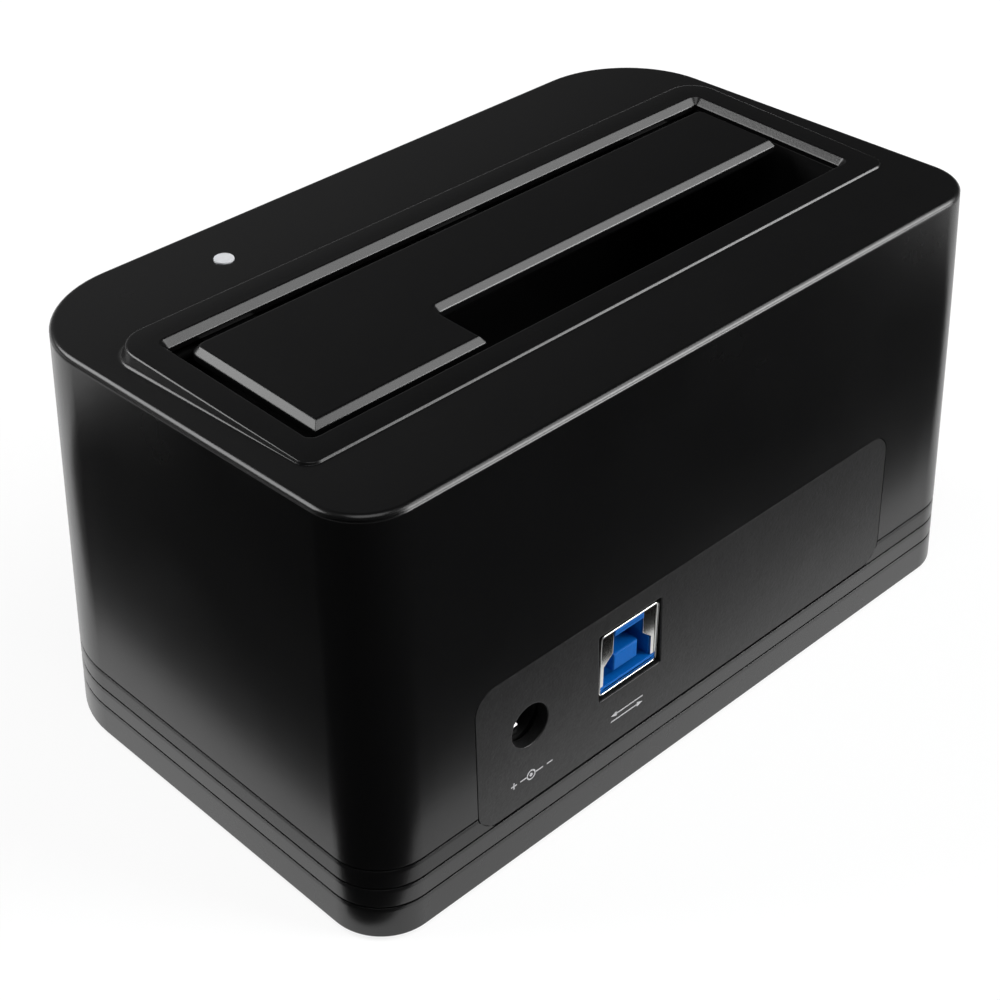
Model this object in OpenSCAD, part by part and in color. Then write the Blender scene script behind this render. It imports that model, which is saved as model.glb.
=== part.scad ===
// Hard drive docking station: one upright bay for a 3.5 inch or a 2.5 inch drive, with an
// L-shaped spring flap over the bay, a port panel in the rear wall and a board in the base.
// The dock stands on its feet at z = 0. X runs along the slot, +Y is the rear with the ports.

/* [Slot and drives] */
// Length of the slot for a 3.5 inch drive
slot_w = 104.9; // [103:0.1:116]
// Width of the slot for a 3.5 inch drive
slot_d = 29; // [28.3:0.1:32]
// How much wider the slot is than the room that the drive takes
slot_play = 2.6; // [2:0.1:2.9]
// Rounding of the slot's corners
slot_r = 1; // [0.5:0.1:2]
// Chamfer round the slot's upper edge
slot_chamfer = 1.05; // [0.5:0.05:1.1]
// Length of the opening that the flap leaves for a 2.5 inch drive
small_bay_w = 73.3; // [71.5:0.1:80]
// Width of that opening
small_bay_d = 11.05; // [10.2:0.05:12]
// Thickness of the bay's walls
bay_wall = 1.6; // [1.2:0.1:1.6]
// Height of the bay's floor above the board
bay_floor_h = 2; // [1.8:0.1:3]
// Thickness of the bay's floor
bay_floor_t = 1.7; // [1.2:0.1:1.8]

/* [Case] */
// Height of the top edge at the rear, above the table
case_h = 68.4; // [67:0.1:80]
// Strip of the top between the bezel and each end of the case
end_margin = 4.78; // [4.5:0.01:8]
// Strip of the top behind the bezel
rear_margin = 14.75; // [14:0.05:18]
// Strip of the top in front of the bezel
front_margin = 19.95; // [19:0.05:24]
// Lean of the two end walls, in degrees
end_draft = 1.33; // [0.5:0.01:1.6]
// Lean of the rear wall, in degrees
rear_draft = 2.1; // [0.5:0.1:2.6]
// Lean of the front wall, in degrees
front_draft = 0.9; // [0.5:0.1:2]
// Fall of the top towards the front, in degrees
top_slope = 2.3; // [1.5:0.1:2.6]
// Radius of the two front corners
front_corner_r = 17; // [14:0.5:20]
// Radius of the two rear corners
rear_corner_r = 8.5; // [8:0.1:10]
// Thickness of the sleeve's wall
wall = 2; // [1.6:0.1:2.2]
// Thickness of the base's floor
floor_t = 2; // [1.8:0.1:2.6]
// Height of the base's top edge, where the sleeve stands on it
base_top = 9.2; // [8.7:0.1:9.4]
// Rounding of the base's lower edge
base_edge = 0.2; // [0.15:0.05:0.8]
// Height of the step that ends the sleeve's plain wall
step_z = 12.6; // [11.8:0.1:13.2]
// Height of the groove's upper edge in the base
groove_z = 6; // [5.2:0.05:6.8]
// Height of a groove, which slopes out from its upper edge
groove_h = 0.9; // [0.5:0.1:1.2]
// Depth of a groove at its upper edge
groove_depth = 0.6; // [0.3:0.1:0.8]

/* [Top cover] */
// Thickness of the cover
cover_t = 1.8; // [1.6:0.1:2]
// Height of the cover's rim above the seam
rim_h = 0.95; // [0.8:0.05:1.2]
// Rounding of the cover's upper edge
edge_r = 0.85; // [0.4:0.05:0.9]
// Seam between the cover and the sleeve
seam_gap = 0.2; // [0.15:0.05:0.4]
// Depth of the lips that the cover and the base set inside the sleeve
lip_h = 2.5; // [1.5:0.1:3]
// Thickness of those lips
lip_t = 1.2; // [0.8:0.1:1.6]
// Clearance of a lip in the sleeve
lip_gap = 0.15; // [0.1:0.05:0.3]
// Width of the level bezel at the slot's ends
bezel_end = 4.8; // [4.4:0.1:6]
// Width of the bezel in front of the slot
bezel_front_w = 5.1; // [4.9:0.1:6]
// Width of the bezel behind the slot
bezel_rear_w = 5.2; // [4.8:0.1:6]
// How far the bezel's rear edge stands above the sloping top
bezel_rise = 0.3; // [0.1:0.05:0.4]
// Rounding of the bezel's front corners
bezel_front_r = 4.5; // [2:0.1:6]
// Rounding of the bezel's rear corners
bezel_rear_r = 2.2; // [1:0.1:4]
// Outward run of the bezel's side for each unit of its height
bezel_lean = 0.5; // [0.2:0.05:0.7]
// Thickness of the bezel over the bay
bezel_t = 1.8; // [1.6:0.1:1.9]
// Thickness of the bezel's side wall
bezel_wall = 1.4; // [1.2:0.1:1.6]

/* [Flap] */
// Gap between the slot and the flap's end above the drive connector's key
flap_end_gap = 1.9; // [1.5:0.1:2.2]
// Gap between the slot and the flap's other end
flap_far_gap = 1.3; // [1.1:0.1:1.6]
// Gap between the flap's rear edge and the slot
flap_rear_gap = 1.2; // [0.7:0.1:1.4]
// Gap between the flap's front edge and the slot
flap_front_gap = 2.1; // [1.6:0.1:2.2]
// Thickness of the flap's plate
flap_t = 2; // [1.6:0.1:2]
// Chamfer round the flap's upper edge
flap_chamfer = 0.95; // [0.5:0.05:1.1]
// Rounding of the flap's front corners
flap_front_r = 2; // [1.5:0.1:3]
// Rounding of the flap's rear corners
flap_rear_r = 0.4; // [0.3:0.1:1]
// Radius of the hinge pin
pin_r = 0.8; // [0.7:0.05:0.9]
// Radius of the flap's knuckles
knuckle_r = 1.7; // [1.5:0.05:1.75]
// Clearance over the knuckles, under the bezel
knuckle_gap = 0.4; // [0.3:0.05:0.5]
// Width of a knuckle
knuckle_w = 9; // [6:0.5:11]
// Distance from the flap's end to the middle of the outer knuckle
knuckle_end = 8.5; // [7:0.5:12]
// Running clearance of a knuckle on its pin
pin_play = 0.06; // [0.03:0.01:0.1]
// Height of the ribs under the flap
rib_h = 1.2; // [0.6:0.1:1.4]
// Thickness of those ribs
rib_w = 1.2; // [0.8:0.1:1.6]
// Distance of the ribs from the flap's edges
rib_in = 4; // [3:0.5:5]
// Thickness of the spring's wire
spring_wire = 0.5; // [0.4:0.05:0.55]
// Mean radius of the spring's coil
spring_r = 1.35; // [1.25:0.05:1.4]
// Rise of the spring's coil in one turn
spring_pitch = 0.95; // [0.95:0.05:1.2]
// Turns of the spring's coil
spring_turns = 4; // [3:1:5]
// Length of the spring's leg under the flap
spring_leg = 9; // [6:0.5:12]

/* [Port panel] */
// Distance from the case's foot to the port panel's side
panel_end = 19.9; // [19:0.1:24]
// Height of the port panel along the wall
panel_h = 23.7; // [22.5:0.1:26]
// Place of the panel's middle along the case
panel_x = 1.1; // [-1:0.1:2]
// Rounding of the panel's corners
panel_r = 3.4; // [2:0.1:5]
// Gap between the panel and the sleeve, and over the base's edge
panel_gap = 0.3; // [0.25:0.05:0.5]
// Thickness of the flange behind the sleeve
flange_t = 1.2; // [0.8:0.1:1.5]
// Reach of the flange behind the sleeve
flange_reach = 2; // [1.5:0.1:3]

/* [Ports] */
// Distance from the panel's side to the middle of the power inlet
inlet_in = 9.95; // [9:0.05:12]
// Distance from the power inlet to the USB socket
port_pitch = 19.8; // [18:0.1:24]
// Width of the USB socket's shell
usb_w = 11.9; // [11.5:0.1:12.3]
// Height of the USB socket's shell
usb_h = 10.8; // [10.5:0.1:11.5]
// Length of the USB socket
usb_l = 17.8; // [15:0.1:18]
// Thickness of the shell's sheet metal
usb_sheet = 0.3; // [0.25:0.05:0.4]
// Gap between the shell and the panel
usb_gap = 0.4; // [0.3:0.1:0.7]
// Width of the shell's folded corner plates
cheek_w = 2.6; // [2:0.1:3]
// Height of the wide part of those plates
cheek_h = 4.4; // [3.6:0.1:5]
// Width of the tongue in the socket
tongue_w = 4.9; // [4.6:0.1:5.6]
// Height of the tongue in the socket
tongue_h = 3; // [2.4:0.1:3.2]
// Distance of the tongue's end from the socket's mouth
tongue_in = 1.5; // [1.5:0.1:3]
// Height of the power inlet's middle above the board
inlet_rise = 4.2; // [4:0.05:4.8]
// Diameter of the panel's hole for the power plug
inlet_hole_d = 6.8; // [6.6:0.1:7.6]
// Diameter of the inlet's bore
inlet_bore_d = 6.4; // [6.2:0.1:6.5]
// Depth of the inlet's bore
inlet_depth = 10; // [9:0.1:11]
// Diameter of the inlet's pin
inlet_pin_d = 2.1; // [1.6:0.1:2.5]
// Width of the inlet's body
inlet_w = 9; // [8:0.1:9.4]
// Length of the inlet's body
inlet_l = 13.5; // [12.5:0.1:14]
// Width of the inlet's sprung leaf
leaf_w = 2.1; // [1.5:0.1:2.4]
// Thickness of that leaf
leaf_t = 0.25; // [0.2:0.05:0.3]
// How far the leaf bends into the bore
leaf_bend = 0.75; // [0.4:0.05:0.8]

/* [Board] */
// Height of the board's upper face above the table
board_top = 18.6; // [17.5:0.1:19]
// Thickness of the board
board_t = 1.6; // [1.2:0.2:1.6]
// Distance of the board's ends from the case's foot
board_end = 16.1; // [15.5:0.1:18]
// Distance of the board's front edge from the case's foot
board_front_in = 6.25; // [5.5:0.05:7]
// Distance of the board's rear edge from the case's foot
board_rear_in = 4.25; // [3.9:0.05:5]
// Distance of the board's screws from its edges
board_screw_in = 4; // [3.5:0.1:5]
// Distance from the slot's far end to the middle of the drive connector
sata_in = 31.45; // [28:0.05:36]
// Length of the drive connector
sata_l = 43.5; // [42:0.1:45]
// Width of the drive connector
sata_w = 5.6; // [5:0.1:6]
// Height of the drive connector above the board
sata_h = 10.4; // [9:0.1:11]
// Distance from the bay's rear wall to the middle of the drive connector
sata_setback = 3.9; // [3.6:0.1:5]
// Side of the bridge chip
bridge_w = 9; // [7:0.5:10]
// Diameter of a bulk capacitor
bulk_d = 6.3; // [5:0.1:6.3]
// Height of a bulk capacitor
bulk_h = 7.7; // [5:0.1:8]
// Side of the choke
choke_w = 8; // [6:0.5:8]
// Spacing of the larger parts along the board
part_pitch = 11; // [10:0.5:12]

/* [Light] */
// Diameter of the light pipe
light_d = 2.7; // [2.2:0.1:3]
// Distance of the light from the end of the case's foot
light_end = 32.4; // [28:0.1:36]
// Distance of the light from the case's front top edge
light_in = 9.8; // [9:0.1:11]
// Clearance of the light pipe in the cover
light_gap = 0.1; // [0.05:0.05:0.2]

/* [Fasteners and feet] */
// Diameter of the case screws' shanks
case_screw_d = 2.9; // [2.5:0.1:3]
// Length of the case screws' shanks
case_screw_l = 16; // [12:0.5:18]
// Radius of the cover's posts
post_r = 3.5; // [3:0.1:3.7]
// Distance of the front posts from the end of the case's foot
front_post_end = 11.6; // [11:0.1:12.5]
// Distance of the front posts from the front of the case's foot
front_post_in = 10.75; // [10:0.05:12]
// Distance of the rear posts from the end of the case's foot
rear_post_end = 9.3; // [8.8:0.1:10]
// Distance of the rear posts from the rear of the case's foot
rear_post_in = 9.55; // [9.2:0.05:10.2]
// Height at which the cover's posts meet the base's posts
post_meet = 12.5; // [11:0.1:14]
// Diameter of the small screws' shanks
small_screw_d = 2.2; // [1.8:0.1:2.4]
// Length of the board screws in their posts
board_screw_l = 6; // [5:0.5:8]
// Length of the bay screws' shanks
bay_screw_l = 6; // [5:0.5:6.5]
// Distance of the bay's screws from the slot's ends
bay_screw_end = 16.45; // [14:0.05:24]
// Diameter of a rubber foot
foot_d = 12; // [10:0.5:14]
// How far a foot stands proud of the base
foot_h = 0.5; // [0.4:0.1:1.2]
// Depth of a foot's seat in the base
foot_seat = 1; // [0.6:0.1:1.2]
// Distance of the feet from the ends of the case's foot
foot_end = 25.6; // [22:0.1:32]
// Distance of the feet from the front and the rear of the case's foot
foot_in = 11.75; // [11:0.05:14]

/* [Hidden] */

$fn = 64;
// Thickness of the thin discs that span a rounded form
skin = 0.01;
// Length by which a cutter passes a face
over = 1;
// Depth by which a post or a lip is rooted in the piece that carries it
root = 0.6;
// Clearance of a close fit, such as a screw or a pin in its hole
fit = 0.05;
// Clearance between two pieces that only lie side by side
side_gap = 0.3;

// Sizes that follow from the slot: bezel, then the top, then the foot
drive_room = slot_d - slot_play;
bezel_w = slot_w + 2 * bezel_end;
bezel_d = slot_d + bezel_front_w + bezel_rear_w;
top_d = front_margin + bezel_d + rear_margin;
front_top_z = case_h - top_d * tan(top_slope);
base_w = bezel_w + 2 * end_margin + 2 * (case_h - foot_h) * tan(end_draft);
base_d = top_d + (case_h - foot_h) * tan(rear_draft) + (front_top_z - foot_h) * tan(front_draft);

// The case narrows upwards: half width, rear and front at a height
function half_w(z) = base_w / 2 - (z - foot_h) * tan(end_draft);
function rear_y(z) = base_d / 2 - (z - foot_h) * tan(rear_draft);
function front_y(z) = -base_d / 2 + (z - foot_h) * tan(front_draft);

rear_top_y = rear_y(case_h);
front_top_y = front_y(front_top_z);
// Height of the sloping top, and of the cover's underside
function top_z(y) = case_h - (rear_top_y - y) * tan(top_slope);
function under_z(y) = top_z(y) - cover_t;

bezel_rear = rear_top_y - rear_margin;
bezel_front = bezel_rear - bezel_d;
bezel_z = top_z(bezel_rear) + bezel_rise;
bay_top = bezel_z - bezel_t;
slot_rear = bezel_rear - bezel_rear_w;
slot_front = slot_rear - slot_d;

board_z = board_top - board_t;
board_half = base_w / 2 - board_end;
board_front = base_d / 2 - board_front_in;
board_rear = base_d / 2 - board_rear_in;
bay_floor = board_top + bay_floor_h;
bay_rear = slot_rear + fit;
// Lower front wall of the bay, which carries on where the open flap ends
bay_front = slot_rear - drive_room - side_gap;
bay_half = slot_w / 2;

flap_half = slot_w / 2 - flap_end_gap;
flap_far = -slot_w / 2 + flap_far_gap;
flap_rear = slot_rear - flap_rear_gap;
flap_front = slot_front + flap_front_gap;
flap_low = bezel_z - flap_t;
notch_x = -slot_w / 2 + small_bay_w;
notch_y = slot_rear - small_bay_d;
// The hinge lies under the bezel, so that the open flap's face stands clear of the drive
hinge_drop = bezel_t + knuckle_r + knuckle_gap;
hinge_z = bezel_z - hinge_drop;
hinge_y = slot_rear - drive_room - hinge_drop;
knuckle_pitch = flap_half - knuckle_end;
knuckle_x = [-knuckle_pitch, 0, knuckle_pitch];
// How deep a knuckle's arm is set in the flap's plate, and how far it reaches under it
arm_in = 0.5;
arm_root = 4;
pocket_y = hinge_y - knuckle_r - knuckle_gap;
flap_reach = flap_rear - hinge_y;
pocket_z = hinge_z - flap_reach - over;
pocket_top = under_z(pocket_y - bay_wall) - side_gap;

// Lugs that hang the bay under the cover
lug_t = 3;
lug_w = 7;
lug_d = 6.5;
lug_drop = 9;
lug_z = bay_top - lug_drop;
lug_rear_y = bay_rear + bay_wall + lug_d / 2;
lug_front_y = pocket_y - bay_wall - lug_d / 2;
bay_boss_d = 6;
bay_screw_x = bay_half - bay_screw_end;
bay_screws_at = [for (sx = [-1, 1]) for (y = [lug_front_y, lug_rear_y]) [sx * bay_screw_x, y]];

front_post = [base_w / 2 - front_post_end, -base_d / 2 + front_post_in];
rear_post = [base_w / 2 - rear_post_end, base_d / 2 - rear_post_in];
case_posts_at = [for (sx = [-1, 1]) for (p = [front_post, rear_post]) [sx * p[0], p[1]]];
board_screws_at = [for (sx = [-1, 1]) for (y = [board_screw_in - board_front, board_rear - board_screw_in])
    [sx * (board_half - board_screw_in), y]];
feet_at = [for (sx = [-1, 1]) for (sy = [-1, 1])
    [sx * (base_w / 2 - foot_end), sy * (base_d / 2 - foot_in)]];

case_head_d = 5.4;
case_head_h = 2.2;
case_seat_z = foot_h + 3.4;
small_head_d = 4.4;
small_head_h = 1.6;
// Walls of the base's posts round their screws
post_wall = 0.6;
board_post_wall = 1.7;

panel_w = base_w - 2 * panel_end;
panel_z = base_top + panel_gap;
window_z = panel_z - panel_gap;
flange_z = base_top + lip_h + side_gap;
seat_h = panel_z + panel_h - flange_z;

light_x = base_w / 2 - light_end;
light_y = front_top_y + light_in;
light_proud = 0.15;
collar_h = 1.4;
collar_w = 1;
led_h = 1;
led_w = 3.2;
led_lens_d = 1.4;

inlet_x = panel_x + panel_w / 2 - inlet_in;
inlet_z = board_top + inlet_rise;
inlet_roof = 1.1;
inlet_h = inlet_rise + inlet_bore_d / 2 + inlet_roof;
inlet_front = rear_y(inlet_z + inlet_h) - wall - 2 * fit;
inlet_pin_in = 1.2;
leaf_in = 1;
leaf_l = 6;
usb_x = inlet_x - port_pitch;
usb_lift = 0.2;
usb_z = board_top + usb_lift;
usb_mouth = rear_y(usb_z + usb_h) - fit;
sata_x = sata_in - slot_w / 2;
sata_y = bay_rear - sata_setback;

// Four discs at the case's corners at one height, inset from its outside
module level_discs(z, inset) {
    for (sx = [-1, 1]) {
        translate([sx * (half_w(z) - rear_corner_r), rear_y(z) - rear_corner_r, z])
            cylinder(r = rear_corner_r - inset, h = skin);
        translate([sx * (half_w(z) - front_corner_r), front_y(z) + front_corner_r, z])
            cylinder(r = front_corner_r - inset, h = skin);
    }
}

// Four discs at the case's corners, parallel to the sloping top and a drop below it
module sloping_discs(drop, inset) {
    rear_at = rear_top_y - rear_corner_r;
    front_at = front_top_y + front_corner_r;
    rear_z = top_z(rear_at) - drop;
    front_z = top_z(front_at) - drop;
    for (sx = [-1, 1]) {
        translate([sx * (half_w(rear_z) - rear_corner_r), rear_at, rear_z - skin])
            rotate([top_slope, 0, 0])
            cylinder(r = rear_corner_r - inset, h = skin);
        translate([sx * (half_w(front_z) - front_corner_r), front_at, front_z - skin])
            rotate([top_slope, 0, 0])
            cylinder(r = front_corner_r - inset, h = skin);
    }
}

// Drafted block with the case's outline between two heights
module case_block(z0, z1, inset) {
    hull() {
        level_discs(z0, inset);
        level_discs(z1 - skin, inset);
    }
}

// Everything above a plane that is parallel to the sloping top
module above_slope(drop) {
    translate([0, rear_top_y, case_h - drop])
        rotate([top_slope, 0, 0])
        translate([-base_w, -2 * base_d, 0])
        cube([2 * base_w, 4 * base_d, base_d]);
}

// Cutter for a groove round the case, deepest at its upper edge and sloping out below it
module groove(z) {
    slope = groove_depth / groove_h;
    difference() {
        translate([-base_w, -base_d, z - groove_h - over])
            cube([2 * base_w, 2 * base_d, groove_h + over]);
        hull() {
            level_discs(z - groove_h - 2 * over, -2 * over * slope);
            level_discs(z + over, groove_depth + over * slope);
        }
    }
}

// Rounded rectangle, centred
module rounded_rect(w, d, r) {
    square([w - 2 * r, d], center = true);
    square([w, d - 2 * r], center = true);
    for (sx = [-1, 1]) {
        for (sy = [-1, 1]) {
            translate([sx * (w / 2 - r), sy * (d / 2 - r)])
                circle(r);
        }
    }
}

// Four upright discs at the corners of a rectangle between two y values, smaller ones with fewer sides
function disc_sides(r) = max(8, min(32, 4 * ceil(4 * r)));
module corner_discs(half, y0, y1, z, front_r, rear_r) {
    for (sx = [-1, 1]) {
        translate([sx * (half - front_r), y0 + front_r, z])
            cylinder(r = front_r, h = skin, $fn = disc_sides(front_r));
        translate([sx * (half - rear_r), y1 - rear_r, z])
            cylinder(r = rear_r, h = skin, $fn = disc_sides(rear_r));
    }
}

// Box from its lowest corner to its highest
module block(low, high) {
    translate(low)
        cube(high - low);
}

// Places its child, drawn in the XY plane, on the outside of the leaning rear wall
module on_rear_wall(z, depth) {
    translate([0, rear_y(z), z])
        rotate([90 + rear_draft, 0, 0])
        translate([0, 0, depth])
        children();
}

// Pan head screw that points up from its seat, with a cross recess
module screw_up(shank_d, shank_l, head_d, head_h) {
    recess_w = head_d / 7;
    recess_l = head_d / 1.7;
    difference() {
        union() {
            cylinder(d = shank_d, h = shank_l);
            translate([0, 0, -head_h])
                cylinder(d = head_d, h = head_h);
        }
        for (a = [0, 90]) {
            rotate(a)
                translate([-recess_l / 2, -recess_w / 2, -head_h - over])
                cube([recess_l, recess_w, over + head_h / 2]);
        }
    }
}

// Leaning tube of the case, with the step above the base and the window for the port panel
module body_sleeve() {
    color("#141415")
    difference() {
        case_block(base_top, case_h, 0);
        case_block(base_top - over, case_h + over, wall);
        above_slope(rim_h + seam_gap);
        groove(step_z);
        on_rear_wall(window_z, -over)
            translate([panel_x, (panel_h + 2 * panel_gap) / 2 - fit])
            linear_extrude(wall + 2 * over)
            rounded_rect(panel_w + 2 * panel_gap, panel_h + 2 * panel_gap, panel_r + panel_gap);
    }
}

// Sloping lid with the level bezel, the chamfered slot, the light's hole and the screw posts
module top_cover() {
    foot_drop = bezel_t + root;
    foot = foot_drop * bezel_lean;
    inner = wall + lip_gap;
    color("#161617")
    difference() {
        union() {
            difference() {
                union() {
                    hull() {
                        sloping_discs(rim_h, 0);
                        for (a = [0 : 30 : 90]) {
                            sloping_discs(edge_r * (1 - sin(a)), edge_r * (1 - cos(a)));
                        }
                    }
                    // lower part of the lid, which lies inside the sleeve
                    hull() {
                        sloping_discs(rim_h - root, inner);
                        sloping_discs(cover_t, inner);
                    }
                    hull() {
                        corner_discs(bezel_w / 2, bezel_front, bezel_rear, bezel_z - skin,
                            bezel_front_r, bezel_rear_r);
                        corner_discs(bezel_w / 2 + foot, bezel_front - foot, bezel_rear + skin,
                            bezel_z - foot_drop, bezel_front_r + foot, bezel_rear_r);
                    }
                }
                // hollow under the bezel, with a level ceiling that the bay's walls meet
                translate([0, (bezel_front + bezel_rear) / 2, bay_top - 2 * cover_t])
                    linear_extrude(2 * cover_t)
                    rounded_rect(bezel_w - 2 * bezel_wall, bezel_d - 2 * bezel_wall, bezel_rear_r);
                translate([0, (slot_front + slot_rear) / 2, bay_top - over])
                    linear_extrude(bezel_t + 2 * over)
                    rounded_rect(slot_w, slot_d, slot_r);
                hull() {
                    sink = slot_r / 3;
                    corner_discs(slot_w / 2 - sink, slot_front + sink, slot_rear - sink,
                        bezel_z - slot_chamfer - sink, slot_r - sink, slot_r - sink);
                    rise = slot_chamfer + over;
                    corner_discs(slot_w / 2 + rise, slot_front - rise, slot_rear + rise, bezel_z + over,
                        slot_r + rise, slot_r + rise);
                }
            }
            difference() {
                hull() {
                    sloping_discs(cover_t - root, inner);
                    sloping_discs(cover_t + lip_h, inner);
                }
                hull() {
                    sloping_discs(cover_t - root - over, inner + lip_t);
                    sloping_discs(cover_t + lip_h + over, inner + lip_t);
                }
            }
            for (p = case_posts_at) {
                translate([p[0], p[1], post_meet])
                    cylinder(r = post_r, h = under_z(p[1]) + root - post_meet);
            }
            for (p = bay_screws_at) {
                translate([p[0], p[1], lug_z + lug_t])
                    cylinder(d = bay_boss_d, h = under_z(p[1]) + root - lug_z - lug_t);
            }
        }
        translate([light_x, light_y, under_z(light_y) - over])
            cylinder(d = light_d + 2 * light_gap, h = cover_t + 2 * over);
        for (p = case_posts_at) {
            translate([p[0], p[1], post_meet - over])
                cylinder(d = case_screw_d + 2 * fit, h = case_seat_z + case_screw_l + 2 * over - post_meet);
        }
        for (p = bay_screws_at) {
            translate([p[0], p[1], lug_z])
                cylinder(d = small_screw_d + 2 * fit, h = bay_screw_l + over);
        }
    }
}

// Shallow tray with grooves round it, a lip inside the sleeve, screw posts and seats for the feet
module base_tray() {
    inner = wall + lip_gap + lip_t;
    post_z = foot_h + floor_t / 2;
    color("#18181a")
    difference() {
        union() {
            difference() {
                union() {
                    hull() {
                        level_discs(foot_h, base_edge);
                        level_discs(foot_h + base_edge, 0);
                        level_discs(base_top - skin, 0);
                    }
                    case_block(base_top - over, base_top + lip_h, wall + lip_gap);
                }
                case_block(foot_h + floor_t, base_top + lip_h + over, inner);
                groove(groove_z);
                intersection() {
                    groove(base_top + fit);
                    translate([-base_w, -base_d, 0])
                        cube([2 * base_w, 2 * base_d, base_top + fit / 2]);
                }
            }
            for (p = case_posts_at) {
                translate([p[0], p[1], post_z])
                    cylinder(r = post_r + post_wall, h = post_meet - post_z);
            }
            for (p = board_screws_at) {
                translate([p[0], p[1], post_z])
                    cylinder(d = small_screw_d + 2 * board_post_wall, h = board_z - post_z);
            }
        }
        for (p = case_posts_at) {
            translate([p[0], p[1], foot_h - over])
                cylinder(d = case_head_d + 4 * fit, h = case_seat_z - foot_h + over);
            translate([p[0], p[1], foot_h])
                cylinder(d = case_screw_d + 4 * fit, h = post_meet);
        }
        for (p = board_screws_at) {
            translate([p[0], p[1], board_z - board_screw_l - over])
                cylinder(d = small_screw_d + 2 * fit, h = board_screw_l + 2 * over);
        }
        for (p = feet_at) {
            translate([p[0], p[1], foot_h - over])
                cylinder(d = foot_d + 4 * fit, h = foot_seat + over);
        }
    }
}

// Plate in the rear wall's window, with a flange behind the sleeve and the two port openings
module io_panel() {
    color("#1d1d1f")
    difference() {
        union() {
            on_rear_wall(panel_z, 0)
                translate([panel_x, panel_h / 2])
                linear_extrude(wall)
                rounded_rect(panel_w, panel_h, panel_r);
            // frame on the plate's back, and the flange that spreads from it behind the sleeve
            on_rear_wall(panel_z, wall / 2)
                translate([panel_x, flange_z - panel_z])
                linear_extrude(wall / 2 + fit + flange_t)
                panel_frame(panel_w - side_gap, seat_h - side_gap);
            on_rear_wall(panel_z, wall + fit)
                translate([panel_x, flange_z - panel_z])
                linear_extrude(flange_t)
                panel_frame(panel_w + 2 * flange_reach, seat_h + flange_reach);
        }
        block([usb_x - usb_w / 2 - usb_gap, 0, usb_z - usb_gap],
            [usb_x + usb_w / 2 + usb_gap, base_d, usb_z + usb_h + usb_gap]);
        translate([inlet_x, 0, inlet_z])
            rotate([-90, 0, 0])
            cylinder(d = inlet_hole_d, h = base_d);
    }
}

// Outline of the panel's frame, open in its middle so that the sockets can stand close to the plate
module panel_frame(w, h) {
    difference() {
        translate([0, h / 2])
            rounded_rect(w, h, panel_r);
        translate([0, seat_h / 2])
            rounded_rect(panel_w - 2 * flange_reach, seat_h - 2 * flange_reach, panel_r / 2);
    }
}

// Open well for the drive, with a pocket in its front wall for the open flap and lugs for its screws
module drive_bay() {
    outer = bay_half + bay_wall;
    color("#121213")
    difference() {
        union() {
            block([-outer, bay_front - bay_wall, bay_floor - bay_floor_t],
                [outer, bay_rear + bay_wall, pocket_z]);
            block([-outer, pocket_y - bay_wall, pocket_z - bay_wall],
                [outer, bay_rear + bay_wall, pocket_top]);
            block([-outer, hinge_y - knuckle_r, pocket_z], [outer, bay_rear + bay_wall, bay_top]);
            for (sx = [-1, 1]) {
                translate([sx * bay_screw_x - lug_w / 2, 0, lug_z]) {
                    block([0, bay_rear + bay_wall - over, 0], [lug_w, lug_rear_y + lug_d / 2, lug_t]);
                    block([0, lug_front_y - lug_d / 2, 0], [lug_w, pocket_y - bay_wall + over, lug_t]);
                }
            }
        }
        block([-bay_half, bay_front, bay_floor], [bay_half, bay_rear, bay_top + over]);
        block([-bay_half, pocket_y, pocket_z], [bay_half, bay_rear, bay_top + over]);
        translate([sata_x, sata_y, 0])
            block([-sata_l / 2 - side_gap, -sata_w / 2 - side_gap, board_top],
                [sata_l / 2 + side_gap, sata_w / 2 + side_gap, bay_floor + over]);
        translate([-base_w / 2, hinge_y, hinge_z])
            rotate([0, 90, 0])
            cylinder(r = pin_r + fit / 2, h = base_w);
        for (p = bay_screws_at) {
            translate([p[0], p[1], lug_z - over])
                cylinder(d = small_screw_d + 6 * fit, h = lug_t + 2 * over);
        }
    }
}

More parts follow.
